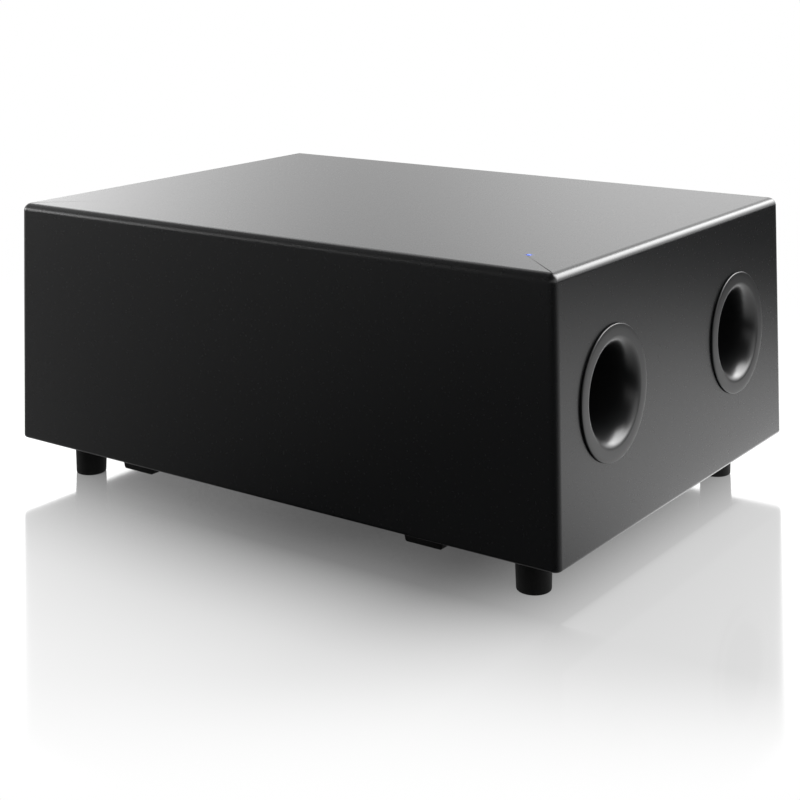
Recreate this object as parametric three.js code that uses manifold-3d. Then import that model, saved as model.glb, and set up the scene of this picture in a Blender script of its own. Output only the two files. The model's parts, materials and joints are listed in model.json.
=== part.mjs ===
// A low, wide powered subwoofer: painted cabinet on four rubber feet, two flared reflex ports in its right
// side, and under it a woofer that fires at the floor and an amplifier with its controls.
// Millimetres, +Z up, front towards -Y. The origin is on the floor, under the middle of the whole part.
import * as THREE from 'three';
import { mergeVertices } from 'three/addons/utils/BufferGeometryUtils.js';
import Module from 'manifold-3d';

const wasm = await Module();
wasm.setup();

// Driving dimensions
const GAP = 0.3; // clearance between pieces that touch
const OVERSHOOT = 1; // how far a cutting tool runs past the surface that it opens
const ROUND = 32; // facets of a large turned piece
const SMALL_ROUND = 16; // facets of feet, knobs and jacks
const SCREW_ROUND = 8;

const CABINET = { width: 440, depth: 312, height: 165.5, wall: 15, corner: 4.5, edge: 4 };
const FOOT = { height: 26.2, bottom: 10.45, top: 11.3, fromSide: 36, fromFront: 33, edge: 1 };
const BAFFLE = { inset: 1, thickness: 16 };
const PORT = {
  flange: 40, proud: 1.8, edge: 0.5, mouth: 33, throat: 25, wall: 2.6, flare: 16, length: 225, hole: 36.2,
  above: 85.3, fromFront: [65.9, 238.2],
};
const BRACE = { x: 40, thickness: 12, window: { width: 80, low: 80, high: 158 } };
const WOOFER = {
  fromLeft: 150, flange: 101, flangeThickness: 2.7, recess: 5, opening: 91.2, boltCircle: 95.8, bolts: 8,
  rollInner: 69, rollOuter: 84.5, coil: 19.5, depth: 100, magnet: 60, spokes: 6, halfWindow: 19,
};
const CONE = { rim: 62, front: 2, rise: 34.5, thickness: 1.2 };
const SPIDER = { inner: 22, outer: 46, wavelength: 8, wave: 1.4, thickness: 0.8 };
const AMP = {
  fromLeft: 332, width: 130, length: 168, corner: 12, thickness: 3, margin: 15, canHeight: 44, canWall: 1.6,
  screwInset: 10,
};
const INLET = { x: 127, y: 118, width: 52, length: 32, body: [46, 26, 24], socket: [38, 18, 16] };
const LED = { fromRight: 41, fromFront: 40, radius: 1.5, shoulder: 3, board: 14, chip: 3 };
const PAD = { fromCentre: 118.5, width: 31, foot: 26, depth: 18, height: 9, fromFront: 14.5 };
const WADDING = { x: -88, width: 230, length: 272, thickness: 26 };
const BOARD_THICKNESS = 1.6;
const SCREW = {
  foot: { head: 4, headHeight: 2.4, shank: 2, length: 22, pilot: 2.2 },
  woofer: { head: 3.3, headHeight: 2.2, shank: 1.6, length: 12.5, pilot: 1.9 },
  amp: { head: 3.2, headHeight: 2, shank: 1.6, length: 13, pilot: 1.9 },
};

// Positions that follow from them
const BASE_Z = FOOT.height;
const TOP_Z = BASE_Z + CABINET.height;
const CEILING_Z = TOP_Z - CABINET.wall;
const BAFFLE_Z = BASE_Z + BAFFLE.inset;
const DECK_Z = BAFFLE_Z + BAFFLE.thickness;
const RIGHT_X = CABINET.width / 2;
const FRONT_Y = -CABINET.depth / 2;
const INSIDE = { x: RIGHT_X - CABINET.wall, y: CABINET.depth / 2 - CABINET.wall };
const WOOFER_X = WOOFER.fromLeft - RIGHT_X;
const AMP_X = AMP.fromLeft - RIGHT_X;
const PORT_Z = BASE_Z + PORT.above;
const PORT_Y = PORT.fromFront.map((y) => FRONT_Y + y);
const PANEL_TOP = BAFFLE_Z + AMP.thickness;
const CAN_Z = PANEL_TOP + GAP;

// Materials
const finish = (color, roughness, metalness = 0) =>
  new THREE.MeshStandardMaterial({ color, roughness, metalness });
const satinBlack = finish(0x17181a, 0.45);
const woodFibre = finish(0x8a6b48, 0.9);
const rubber = finish(0x0c0c0c, 0.85);
const blackPlastic = finish(0x101112, 0.4);
const blackSteel = finish(0x141416, 0.5, 0.7);
const zincSteel = finish(0xb8bcc2, 0.35, 1);
const aluminium = finish(0xb9bdc1, 0.4, 1);
const ferrite = finish(0x2a2b2d, 0.7, 0.2);
const paper = finish(0x1b1b1c, 0.9);
const cloth = finish(0xc9a35a, 0.9);
const copper = finish(0xb5683a, 0.35, 1);
const boardGreen = finish(0x1d5a38, 0.55);
const wadding = finish(0xe4e2dc, 1);
const clearBlue = finish(0x4fa8ff, 0.2);

// Solids

function bareGeometry(geometry) {
  const bare = geometry.clone();
  bare.deleteAttribute('normal');
  bare.deleteAttribute('uv');
  return mergeVertices(bare, 1e-5);
}

function toSolid(geometry) {
  const bare = bareGeometry(geometry);
  const corners = bare.index.array;
  const kept = [];
  for (let i = 0; i < corners.length; i += 3) {
    const [a, b, c] = corners.slice(i, i + 3);
    if (a !== b && b !== c && a !== c) kept.push(a, b, c);
  }
  const vertProperties = new Float32Array(bare.attributes.position.array);
  return new wasm.Manifold(new wasm.Mesh({ numProp: 3, vertProperties, triVerts: new Uint32Array(kept) }));
}

function toGeometry(solid) {
  const mesh = solid.getMesh();
  const geometry = new THREE.BufferGeometry();
  geometry.setAttribute('position', new THREE.BufferAttribute(new Float32Array(mesh.vertProperties), 3));
  geometry.setIndex(new THREE.BufferAttribute(new Uint32Array(mesh.triVerts), 1));
  return geometry;
}

const join = (first, ...rest) =>
  toGeometry(rest.reduce((all, geometry) => all.add(toSolid(geometry)), toSolid(first)));
const cut = (first, ...tools) =>
  toGeometry(tools.reduce((left, geometry) => left.subtract(toSolid(geometry)), toSolid(first)));

// A closed outline of [radius, height] points turned about Z.
function turned(outline, segments = ROUND) {
  const area = outline.reduce((sum, [r, z], i) => {
    const [nextR, nextZ] = outline[(i + 1) % outline.length];
    return sum + r * nextZ - nextR * z;
  }, 0);
  const ordered = area > 0 ? outline : [...outline].reverse();
  const points = [...ordered, ordered[0]].map(([r, z]) => new THREE.Vector2(r, z));
  return new THREE.LatheGeometry(points, segments).rotateX(Math.PI / 2);
}

// A ring, or a disc when inner is 0, from height low to height high.
const ring = (inner, outer, low, high, segments) =>
  turned([[inner, low], [outer, low], [outer, high], [inner, high]], segments);
const rod = (radius, low, high, segments = SMALL_ROUND) => ring(0, radius, low, high, segments);
const block = (width, length, low, high) =>
  new THREE.BoxGeometry(width, length, high - low).translate(0, 0, (low + high) / 2);

function roundedRectangle(width, length, radius) {
  const x = width / 2;
  const y = length / 2;
  const shape = new THREE.Shape();
  shape.moveTo(-x + radius, -y);
  shape.lineTo(x - radius, -y);
  shape.absarc(x - radius, -y + radius, radius, -Math.PI / 2, 0);
  shape.lineTo(x, y - radius);
  shape.absarc(x - radius, y - radius, radius, 0, Math.PI / 2);
  shape.lineTo(-x + radius, y);
  shape.absarc(-x + radius, y - radius, radius, Math.PI / 2, Math.PI);
  shape.lineTo(-x, -y + radius);
  shape.absarc(-x + radius, -y + radius, radius, Math.PI, 1.5 * Math.PI);
  return shape;
}

const plate = (shape, low, high) =>
  new THREE.ExtrudeGeometry(shape, { depth: high - low, bevelEnabled: false, curveSegments: 4 })
    .translate(0, 0, low);

// Points of an elliptical arc about (r, z), from angle first to angle last in degrees.
function arc(r, z, radiusR, radiusZ, first, last, steps) {
  return Array.from({ length: steps + 1 }, (_, i) => {
    const angle = THREE.MathUtils.degToRad(first + ((last - first) * i) / steps);
    return [r + radiusR * Math.cos(angle), z + radiusZ * Math.sin(angle)];
  });
}

// A round wire along a smooth curve through the points.
function wire(points, radius, steps) {
  const path = new THREE.CatmullRomCurve3(points.map((p) => new THREE.Vector3(...p)));
  const section = new THREE.Shape().absarc(0, 0, radius, 0, 2 * Math.PI);
  const settings = { steps, extrudePath: path, curveSegments: 4, bevelEnabled: false };
  return new THREE.ExtrudeGeometry(section, settings);
}

// The port flanges stand proud of the right side, so the cabinet sits half that much to the left.
const model = new THREE.Group();
model.position.x = -(GAP + PORT.proud) / 2;

function add(name, geometry, material, position = [0, 0, 0], parent = model) {
  const mesh = new THREE.Mesh(geometry, material);
  mesh.name = name;
  mesh.position.set(...position);
  parent.add(mesh);
}

// A pan-head screw that points up: its head is below z = 0 and its shank above.
function screw({ head, headHeight, shank, length }) {
  return turned([
    [0, -headHeight], [head * 0.7, -headHeight], [head, -headHeight * 0.45], [head, 0],
    [shank, 0], [shank, length - 2], [0, length],
  ], SCREW_ROUND);
}

// Corners of a rectangle about (x, y).
const fourCorners = (x, y, halfX, halfY) =>
  [[-1, -1], [1, -1], [1, 1], [-1, 1]].map(([sx, sy]) => [x + sx * halfX, y + sy * halfY]);

const FOOT_AT = fourCorners(0, 0, RIGHT_X - FOOT.fromSide, -FRONT_Y - FOOT.fromFront);
const AMP_SCREW_AT = fourCorners(AMP_X, 0, AMP.width / 2 - AMP.screwInset, AMP.length / 2 - AMP.screwInset);
const WOOFER_SCREW_AT = Array.from({ length: WOOFER.bolts }, (_, i) => {
  const angle = (2 * Math.PI * i) / WOOFER.bolts;
  return [WOOFER_X + WOOFER.boltCircle * Math.cos(angle), WOOFER.boltCircle * Math.sin(angle)];
});

// Cabinet

function addCabinetShell() {
  const { width, depth, height, corner, edge } = CABINET;
  const box = new THREE.ExtrudeGeometry(roundedRectangle(width, depth, corner), {
    depth: height, bevelThickness: edge, bevelSize: edge, bevelOffset: -edge, bevelSegments: 3,
    curveSegments: 4,
  }).translate(0, 0, TOP_Z - height - edge);
  const below = block(width * 2, depth * 2, BASE_Z - 4 * edge, BASE_Z);
  const cavity = block(2 * INSIDE.x, 2 * INSIDE.y, BASE_Z - 2 * edge, CEILING_Z);
  const portHoles = PORT_Y.map((y) =>
    rod(PORT.hole, INSIDE.x - OVERSHOOT, RIGHT_X + OVERSHOOT, ROUND)
      .rotateY(Math.PI / 2).translate(0, y, PORT_Z));
  const ledHole = rod(LED.radius + GAP, CEILING_Z - OVERSHOOT, TOP_Z + OVERSHOOT, SCREW_ROUND)
    .translate(RIGHT_X - LED.fromRight, FRONT_Y + LED.fromFront, 0);
  add('cabinet_shell', cut(box, below, cavity, ...portHoles, ledHole), satinBlack);
}

function addBottomBaffle() {
  const { x, y } = INSIDE;
  const board = block(2 * (x - GAP), 2 * (y - GAP), BAFFLE_Z, DECK_Z);
  const wooferSeat = rod(WOOFER.flange + GAP, BAFFLE_Z - OVERSHOOT, BAFFLE_Z + WOOFER.recess, ROUND);
  const wooferOpening = rod(WOOFER.opening, BAFFLE_Z, DECK_Z + OVERSHOOT, ROUND);
  const ampSeat = plate(
    roundedRectangle(AMP.width + 0.8, AMP.length + 0.8, AMP.corner), BAFFLE_Z - OVERSHOOT, PANEL_TOP + GAP);
  const opening = (width, length) => block(width, length, BAFFLE_Z, DECK_Z + OVERSHOOT);
  const ampOpening = opening(AMP.width - 2 * AMP.margin, AMP.length - 2 * AMP.margin);
  const [inletX, inletY] = INLET.body;
  const inletOpening = opening(inletX + 2 * GAP, inletY + 2 * GAP);
  const inletSeat = block(
    INLET.width + 2 * GAP, INLET.length + 2 * GAP, BAFFLE_Z - OVERSHOOT, BAFFLE_Z + 2 + GAP);
  const pilot = (radius, low, high) => ([px, py]) => rod(radius, low, high, SCREW_ROUND).translate(px, py, 0);
  const pilots = [
    ...FOOT_AT.map(pilot(SCREW.foot.pilot, BAFFLE_Z - OVERSHOOT, DECK_Z - 2)),
    ...WOOFER_SCREW_AT.map(pilot(SCREW.woofer.pilot, BAFFLE_Z, DECK_Z - 1)),
    ...AMP_SCREW_AT.map(pilot(SCREW.amp.pilot, BAFFLE_Z, DECK_Z - 1)),
  ];
  add('bottom_baffle', cut(
    board,
    wooferSeat.translate(WOOFER_X, 0, 0), wooferOpening.translate(WOOFER_X, 0, 0),
    ampSeat.translate(AMP_X, 0, 0), ampOpening.translate(AMP_X, 0, 0),
    inletSeat.translate(INLET.x, INLET.y, 0), inletOpening.translate(INLET.x, INLET.y, 0),
    ...pilots,
  ), satinBlack);
}

function addBrace() {
  const panel = block(BRACE.thickness, 2 * (INSIDE.y - GAP), DECK_Z + GAP, CEILING_Z - GAP);
  const { width, low, high } = BRACE.window;
  const middle = block(BRACE.thickness * 2, width, low, high);
  const tubeHoles = PORT_Y.map((y) =>
    rod(PORT.throat + PORT.wall + 2 * GAP, -BRACE.thickness, BRACE.thickness, ROUND)
      .rotateY(Math.PI / 2).translate(0, y, PORT_Z));
  add('internal_brace', cut(panel, middle, ...tubeHoles), woodFibre, [BRACE.x, 0, 0]);
}

function addWadding() {
  const top = CEILING_Z - GAP;
  const pad = block(WADDING.width, WADDING.length, top - WADDING.thickness, top);
  add('damping_wadding', pad, wadding, [WADDING.x, 0, 0]);
}

// A port's outline: the flange stands proud of the side, the mouth narrows along an ellipse into the tube.
function addPorts() {
  const { flange, proud, edge, mouth, throat, wall, flare, length } = PORT;
  const face = GAP + proud;
  const inner = arc(mouth, face - flare, mouth - throat, flare, 90, 180, 4);
  const outer = arc(mouth + wall, -flare, mouth - throat, flare - 1, 180, 90, 2);
  const outline = [
    [flange, GAP], [flange, face - edge], [flange - edge, face], ...inner, [throat, -length],
    [throat + wall, -length], ...outer, [mouth + wall, GAP],
  ];
  ['port_tube_front', 'port_tube_rear'].forEach((name, i) => {
    add(name, turned(outline).rotateY(Math.PI / 2), blackPlastic, [RIGHT_X, PORT_Y[i], PORT_Z]);
  });
}

function addStatusLight() {
  const x = RIGHT_X - LED.fromRight;
  const y = FRONT_Y + LED.fromFront;
  const seat = CEILING_Z - GAP;
  const foot = seat - 2;
  const { radius, shoulder, board, chip } = LED;
  add('led_lens', turned([
    [0, foot], [shoulder, foot], [shoulder, seat], [radius, seat], [radius, TOP_Z - 0.1],
    [radius * 0.6, TOP_Z + 0.2], [0, TOP_Z + 0.3],
  ], SMALL_ROUND), clearBlue, [x, y, 0]);
  const boardTop = foot - 1.4;
  add('led_board', join(
    block(board, board, boardTop - BOARD_THICKNESS, boardTop), block(chip, chip, boardTop - 0.2, foot - 0.4),
  ), boardGreen, [x, y, 0]);
}

// Two flat pads with sloping ends under the front edge.
function addPads() {
  const half = PAD.width / 2;
  const foot = PAD.foot / 2;
  const side = new THREE.Shape();
  side.moveTo(-half, 0);
  side.lineTo(-foot, -PAD.height);
  side.lineTo(foot, -PAD.height);
  side.lineTo(half, 0);
  side.closePath();
  ['front_pad_left', 'front_pad_right'].forEach((name, i) => {
    const x = (i ? 1 : -1) * PAD.fromCentre;
    const body = plate(side, 0, PAD.depth).rotateX(Math.PI / 2).translate(0, PAD.depth, 0);
    add(name, body, rubber, [x, FRONT_Y + PAD.fromFront, BASE_Z - GAP]);
  });
}

const CORNER_NAMES = ['front_left', 'front_right', 'rear_right', 'rear_left'];

function addFeet() {
  const top = BAFFLE_Z - GAP;
  const step = 18;
  const foot = turned([
    [5, 0], [FOOT.bottom - FOOT.edge, 0], [FOOT.bottom - 0.3 * FOOT.edge, 0.3 * FOOT.edge],
    [FOOT.bottom, FOOT.edge], [FOOT.top, top], [2.4, top], [2.4, step], [5, step],
  ], SMALL_ROUND);
  CORNER_NAMES.forEach((corner, i) => {
    const [x, y] = FOOT_AT[i];
    add(`foot_${corner}`, foot, rubber, [x, y, 0]);
    add(`foot_screw_${corner}`, screw(SCREW.foot), zincSteel, [x, y, step - GAP]);
  });
}

// Woofer: every outline is about its own axis, with height 0 at the baffle's lower face.
const woofer = new THREE.Group();
woofer.position.set(WOOFER_X, 0, BAFFLE_Z);
const SHELF_Z = 48.3; // where the spider is glued
const PLATE_Z = 62; // lower face of the top plate

function addBasket() {
  const { flange, flangeThickness, opening, boltCircle, bolts, spokes, coil } = WOOFER;
  const front = 2;
  const back = front + flangeThickness;
  const seat = PLATE_Z - GAP; // the top plate is bolted here
  const bowl = turned([
    [flange, front], [flange, back], [opening - 0.7, back], [86, 12], [60, 44], [58, seat],
    [coil + 6.5, seat], [coil + 6.5, seat - 2.2], [55.8, seat - 2.2], [55.8, SHELF_Z + 2], [47, SHELF_Z + 2],
    [47, SHELF_Z], [56.2, SHELF_Z], [57, SHELF_Z - 4], [84, 11], [88.5, 7], [88.5, front],
  ]);
  const halfWindow = THREE.MathUtils.degToRad(WOOFER.halfWindow);
  const sector = new THREE.Shape();
  const inside = 40;
  sector.absarc(0, 0, flange + 9, -halfWindow, halfWindow);
  sector.lineTo(inside * Math.cos(halfWindow), inside * Math.sin(halfWindow));
  sector.lineTo(inside * Math.cos(halfWindow), -inside * Math.sin(halfWindow));
  const windows = Array.from({ length: spokes }, (_, i) =>
    plate(sector, 15, 41).rotateZ((2 * Math.PI * i) / spokes));
  const holes = Array.from({ length: bolts }, (_, i) =>
    rod(2.2, 0, back + OVERSHOOT, SCREW_ROUND)
      .translate(boltCircle, 0, 0).rotateZ((2 * Math.PI * i) / bolts));
  add('woofer_basket', cut(bowl, ...windows, ...holes), blackSteel, [0, 0, 0], woofer);
}

function addMovingCone() {
  const { rollInner, rollOuter, coil } = WOOFER;
  const rollCentre = (rollInner + rollOuter) / 2;
  const below = (rollOuter - rollInner) / 2 + 0.4;
  const above = below - 0.8;
  const lip = 0.8;
  const lipTop = lip + 0.9;
  add('surround', turned([
    [62.5, lip], [rollInner, lip], ...arc(rollCentre, lip, below, below, 195, 345, 5), [rollOuter, lip],
    [90, lip], [90, lipTop], ...arc(rollCentre, lipTop, above, above, 360, 180, 5), [62.5, lipTop],
  ]), rubber, [0, 0, 0], woofer);

  const { rim, front, rise, thickness } = CONE;
  const neck = coil + 0.4;
  const lipEdge = rollInner - 0.7;
  const slope = (above) => [0, 0.3, 0.65, 1].map((t) =>
    [rim + (neck - rim) * t, front + above + rise * t * (1.15 - 0.15 * t)]);
  add('cone', turned([
    [lipEdge, front], ...slope(0), ...slope(thickness).reverse(), [lipEdge, front + thickness],
  ]), paper, [0, 0, 0], woofer);

  const dome = (r) => 28 - 9 * (1 - (r / 30) ** 2);
  const across = [0, 10, 20, 30];
  add('dust_cap', turned([
    ...across.map((r) => [r, dome(r)]), ...[...across].reverse().map((r) => [r, dome(r) + 0.8]),
  ], 24), paper, [0, 0, 0], woofer);

  add('voice_coil', turned([
    [coil - 0.5, 34], [coil, 34], [coil, 57], [coil + 1.2, 57], [coil + 1.2, 75], [coil, 75], [coil, 78],
    [coil - 0.5, 78],
  ], 24), copper, [0, 0, 0], woofer);

  const { inner, outer, wavelength, wave } = SPIDER;
  const level = SHELF_Z - GAP - SPIDER.thickness;
  const ripple = (r) =>
    (r > inner && r < outer ? wave * Math.sin(((r - inner) / wavelength) * 2 * Math.PI) : 0);
  const radii = [neck, inner, 24, 28, 32, 36, 40, 44, outer, 55.5];
  add('spider', turned([
    ...radii.map((r) => [r, level + ripple(r)]),
    ...[...radii].reverse().map((r) => [r, level + ripple(r) + SPIDER.thickness]),
  ], 24), cloth, [0, 0, 0], woofer);

  [['lead_wire_a', -4], ['lead_wire_b', 4]].forEach(([name, y]) => {
    const path = [[62, y, 39], [54, y, 36.5], [44, y, 35.5], [34.5, y, 31]];
    add(name, wire(path, 0.8, 8), copper, [0, 0, 0], woofer);
  });
}

function addMotor() {
  const { magnet, coil, depth } = WOOFER;
  const plateTop = PLATE_Z + 8;
  const backPlate = depth - 8;
  add('top_plate', ring(coil + 2, 55, PLATE_Z, plateTop), zincSteel, [0, 0, 0], woofer);
  add('magnet_ring', ring(28, magnet, plateTop + GAP, backPlate - GAP), ferrite, [0, 0, 0], woofer);
  add('pole_yoke', turned([
    [5, PLATE_Z], [coil - 1.3, PLATE_Z], [coil - 1.3, backPlate], [54, backPlate], [54, depth - 1],
    [53, depth], [5, depth],
  ]), zincSteel, [0, 0, 0], woofer);
}

function addWooferFittings() {
  add('woofer_gasket', turned([
    [86, 0.5], [86, -0.6], [86.9, -1.2], [90.9, -1.2], [91.8, -0.6], [91.8, 0.5],
  ]), rubber, [0, 0, 0], woofer);
  add('terminal_strip', block(1.6, 14, 38, 50), copper, [63.6, 0, 0], woofer);
  WOOFER_SCREW_AT.forEach(([x, y], i) => {
    add(`woofer_screw_${i + 1}`, screw(SCREW.woofer), blackSteel, [x, y, BAFFLE_Z + 2 - GAP]);
  });
}

// Amplifier: placed about the centre of its panel.
const amp = new THREE.Group();
amp.position.set(AMP_X, 0, 0);
const BOARD_Z = 41;
const PARTS_TOP = 67; // top of the tallest piece on the board
const CONTROL = {
  volume: [-24, 42], crossover: [24, 42], phase: [-24, 10], pairing: [0, 10], power: [24, 10],
  jacks: [[-24, -30], [-4, -30]],
};
const KNOB = { shaft: 3, height: 10, face: 7.6, skirt: 10 };
const BUTTON = 3;
const JACK = 4.1;
const ROCKER = { width: 12, half: 9, opening: [13, 20.4], pivot: 29.5, tilt: 8 };

function addAmpPanel() {
  const sheet = plate(roundedRectangle(AMP.width, AMP.length, AMP.corner), BAFFLE_Z, PANEL_TOP);
  const low = BAFFLE_Z - OVERSHOOT;
  const high = PANEL_TOP + OVERSHOOT;
  const hole = (radius, [x, y]) => rod(radius, low, high).translate(x, y, 0);
  const opening = (width, length, [x, y]) => block(width, length, low, high).translate(x, y, 0);
  add('amp_panel', cut(
    sheet,
    hole(KNOB.shaft + 0.5, CONTROL.volume), hole(KNOB.shaft + 0.5, CONTROL.crossover),
    hole(BUTTON + 0.4, CONTROL.pairing), ...CONTROL.jacks.map((at) => hole(JACK + 0.5, at)),
    opening(4.2, 8, CONTROL.phase), opening(...ROCKER.opening, CONTROL.power),
    ...AMP_SCREW_AT.map(([x, y]) => hole(2.1, [x - AMP_X, y])),
  ), blackSteel, [0, 0, 0], amp);
  AMP_SCREW_AT.forEach(([x, y], i) => {
    add(`amp_screw_${i + 1}`, screw(SCREW.amp), blackSteel, [x, y, BAFFLE_Z - GAP]);
  });
}

function addAmpCan() {
  const width = AMP.width - 2 * AMP.margin - 1;
  const length = AMP.length - 2 * AMP.margin - 1;
  const { canWall } = AMP;
  const top = CAN_Z + AMP.canHeight;
  const box = block(width, length, CAN_Z, top);
  const inside = block(width - 2 * canWall, length - 2 * canWall, CAN_Z - OVERSHOOT, top - canWall);
  const cableHole = rod(3, top - 4, top + OVERSHOOT, 12).translate(-40, 0, 0);
  add('amp_can', cut(box, inside, cableHole), zincSteel, [0, 0, 0], amp);
}

function addAmpElectronics() {
  const boardTop = BOARD_Z + BOARD_THICKNESS;
  const cableNotch = block(8, 12, BOARD_Z - OVERSHOOT, boardTop + OVERSHOOT).translate(-42, 0, 0);
  const board = cut(block(92, 130, BOARD_Z, boardTop), cableNotch);
  const capacitor = rod(11, boardTop - 0.5, PARTS_TOP, 24).translate(22, -44, 0);
  add('amp_board', join(board, capacitor), boardGreen, [0, 0, 0], amp);

  const core = block(42, 34, boardTop + GAP, PARTS_TOP);
  const slotLow = boardTop + 5.4;
  const slots = [-1, 1].map((side) => block(50, 8, slotLow, PARTS_TOP - 5).translate(0, side * 13, 0));
  add('power_transformer', cut(core, ...slots), ferrite, [-20, -38, 0], amp);

  const sinkLength = 56;
  const sink = block(30, sinkLength, boardTop + GAP, PARTS_TOP - 1);
  const channels = [-9, 0, 9].map((x) => block(5, sinkLength + 4, slotLow, PARTS_TOP).translate(x, 0, 0));
  add('heat_sink', cut(sink, ...channels), aluminium, [22, 16, 0], amp);
}

// A control knob with its shaft, turning in the pot behind the panel.
function addRotaryControls() {
  const { shaft, height, face, skirt } = KNOB;
  const high = BAFFLE_Z - GAP;
  const low = high - height;
  const knob = turned([
    [0, low], [face, low], [face + 0.6, low + 0.8], [face + 1, high - 2], [skirt, high - 1.6], [skirt, high],
    [shaft, high], [shaft, high + 11], [0, high + 11],
  ], SMALL_ROUND);
  const pointer = block(1.6, 5, low - OVERSHOOT, low + 0.6).translate(0, 5, 0);
  const bore = rod(shaft + GAP, CAN_Z - OVERSHOOT, BOARD_Z + OVERSHOOT);
  const pot = cut(block(16, 16, CAN_Z, BOARD_Z - GAP), bore);
  for (const name of ['volume', 'crossover']) {
    const [x, y] = CONTROL[name];
    add(`${name}_knob`, cut(knob, pointer), blackPlastic, [x, y, 0], amp);
    add(`${name}_pot`, pot, zincSteel, [x, y, 0], amp);
  }
}

function addSwitches() {
  const { width, half, opening, pivot, tilt } = ROCKER;
  const profile = new THREE.Shape();
  profile.moveTo(-half, -3.5);
  profile.lineTo(0, -2.3);
  profile.lineTo(half, -3.5);
  profile.lineTo(half - 1, 3);
  profile.lineTo(1 - half, 3);
  profile.closePath();
  // The outline is drawn in the YZ plane and pushed out along X.
  const rocker = plate(profile, -width / 2, width / 2).rotateX(Math.PI / 2).rotateZ(Math.PI / 2);
  rocker.rotateX(THREE.MathUtils.degToRad(-tilt));
  add('power_rocker', rocker, blackPlastic, [...CONTROL.power, pivot], amp);
  add('power_switch_case', cut(
    block(opening[0] + 2, opening[1] + 2, CAN_Z, BOARD_Z - GAP),
    block(opening[0], opening[1], CAN_Z - OVERSHOOT, 36),
  ), blackPlastic, [...CONTROL.power, 0], amp);

  const slider = join(block(3, 3.5, 25.2, CAN_Z + 0.5), block(8, 6, CAN_Z, CAN_Z + 1.2));
  add('phase_switch', slider, blackPlastic, [CONTROL.phase[0], CONTROL.phase[1] - 1.5, 0], amp);

  add('pairing_button', turned([
    [0, 26], [BUTTON - 0.4, 26], [BUTTON, 26.4], [BUTTON, CAN_Z], [BUTTON + 1.2, CAN_Z],
    [BUTTON + 1.2, CAN_Z + 1], [0, CAN_Z + 1],
  ], SMALL_ROUND), blackPlastic, [...CONTROL.pairing, 0], amp);
}

function addConnectors() {
  const barrel = ring(1.8, JACK, 19.5, CAN_Z + 2, SMALL_ROUND);
  const jack = join(barrel, block(12, 12, CAN_Z + 0.2, BOARD_Z - GAP));
  CONTROL.jacks.forEach(([x, y], i) => {
    add(`line_jack_${i ? 'right' : 'left'}`, jack, zincSteel, [x, y, 0], amp);
  });

  const [bodyX, bodyY, bodyZ] = INLET.body;
  const [socketX, socketY, socketZ] = INLET.socket;
  const rim = block(INLET.width, INLET.length, BAFFLE_Z, BAFFLE_Z + 2);
  const body = block(bodyX, bodyY, BAFFLE_Z + 1, BAFFLE_Z + bodyZ);
  const socket = block(socketX, socketY, BAFFLE_Z - OVERSHOOT, BAFFLE_Z + socketZ);
  const shell = cut(join(rim, body), socket);
  const pins = [-10, 0, 10].map((x) => block(4, 2, BAFFLE_Z + 3, BAFFLE_Z + socketZ + 2).translate(x, 0, 0));
  add('mains_inlet', join(shell, ...pins), blackPlastic, [INLET.x, INLET.y, 0]);

  const fromAmp = AMP_X - 40;
  const toWoofer = WOOFER_X + 67.4;
  add('speaker_cable', wire([
    [fromAmp, 0, 62], [fromAmp, 0, 72], [fromAmp, 0, 80], [50, 0, 98], [12, 0, 94], [toWoofer, 0, 82],
    [toWoofer, 0, 70],
  ], 2, 16), rubber);
}

addCabinetShell();
addBottomBaffle();
addBrace();
addWadding();
addPorts();
addStatusLight();
addPads();
addFeet();
addBasket();
addMovingCone();
addMotor();
addWooferFittings();
addAmpPanel();
addAmpCan();
addAmpElectronics();
addRotaryControls();
addSwitches();
addConnectors();
model.add(woofer, amp);

export default model;
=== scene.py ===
"""Looks for the low powered subwoofer: satin cabinet with two side ports, rubber feet, and the woofer and
amplifier underneath. Sizes are millimetres in the part's own frame, scaled to metres when a mesh is made."""

import json
import math
import random
from functools import partialmethod

import bmesh
import bpy
from mathutils import Matrix, Vector, noise
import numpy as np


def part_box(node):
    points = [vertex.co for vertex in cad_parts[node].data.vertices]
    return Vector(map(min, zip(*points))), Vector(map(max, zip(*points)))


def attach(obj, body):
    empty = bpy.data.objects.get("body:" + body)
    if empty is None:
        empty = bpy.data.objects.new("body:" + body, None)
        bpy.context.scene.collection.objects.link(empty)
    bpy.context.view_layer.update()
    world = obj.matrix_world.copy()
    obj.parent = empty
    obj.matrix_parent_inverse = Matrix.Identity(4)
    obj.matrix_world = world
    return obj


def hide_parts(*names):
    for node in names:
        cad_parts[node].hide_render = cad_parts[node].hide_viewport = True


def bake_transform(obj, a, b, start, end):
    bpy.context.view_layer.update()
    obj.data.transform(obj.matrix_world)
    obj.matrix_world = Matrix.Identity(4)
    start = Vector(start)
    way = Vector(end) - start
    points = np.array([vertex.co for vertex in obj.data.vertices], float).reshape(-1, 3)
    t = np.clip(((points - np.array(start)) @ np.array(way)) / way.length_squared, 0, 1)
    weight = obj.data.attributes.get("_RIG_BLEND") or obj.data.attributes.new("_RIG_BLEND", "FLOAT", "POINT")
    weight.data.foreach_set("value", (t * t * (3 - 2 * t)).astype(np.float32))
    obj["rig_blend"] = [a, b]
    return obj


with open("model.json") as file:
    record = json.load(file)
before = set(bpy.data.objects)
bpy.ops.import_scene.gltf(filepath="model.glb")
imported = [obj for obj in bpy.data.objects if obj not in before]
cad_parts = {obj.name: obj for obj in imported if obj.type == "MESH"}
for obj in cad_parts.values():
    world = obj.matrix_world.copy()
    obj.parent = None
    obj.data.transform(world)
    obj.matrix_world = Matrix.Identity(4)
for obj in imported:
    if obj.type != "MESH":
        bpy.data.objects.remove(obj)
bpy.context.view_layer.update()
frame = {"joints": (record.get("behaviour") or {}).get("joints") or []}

MM = 0.001
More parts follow.
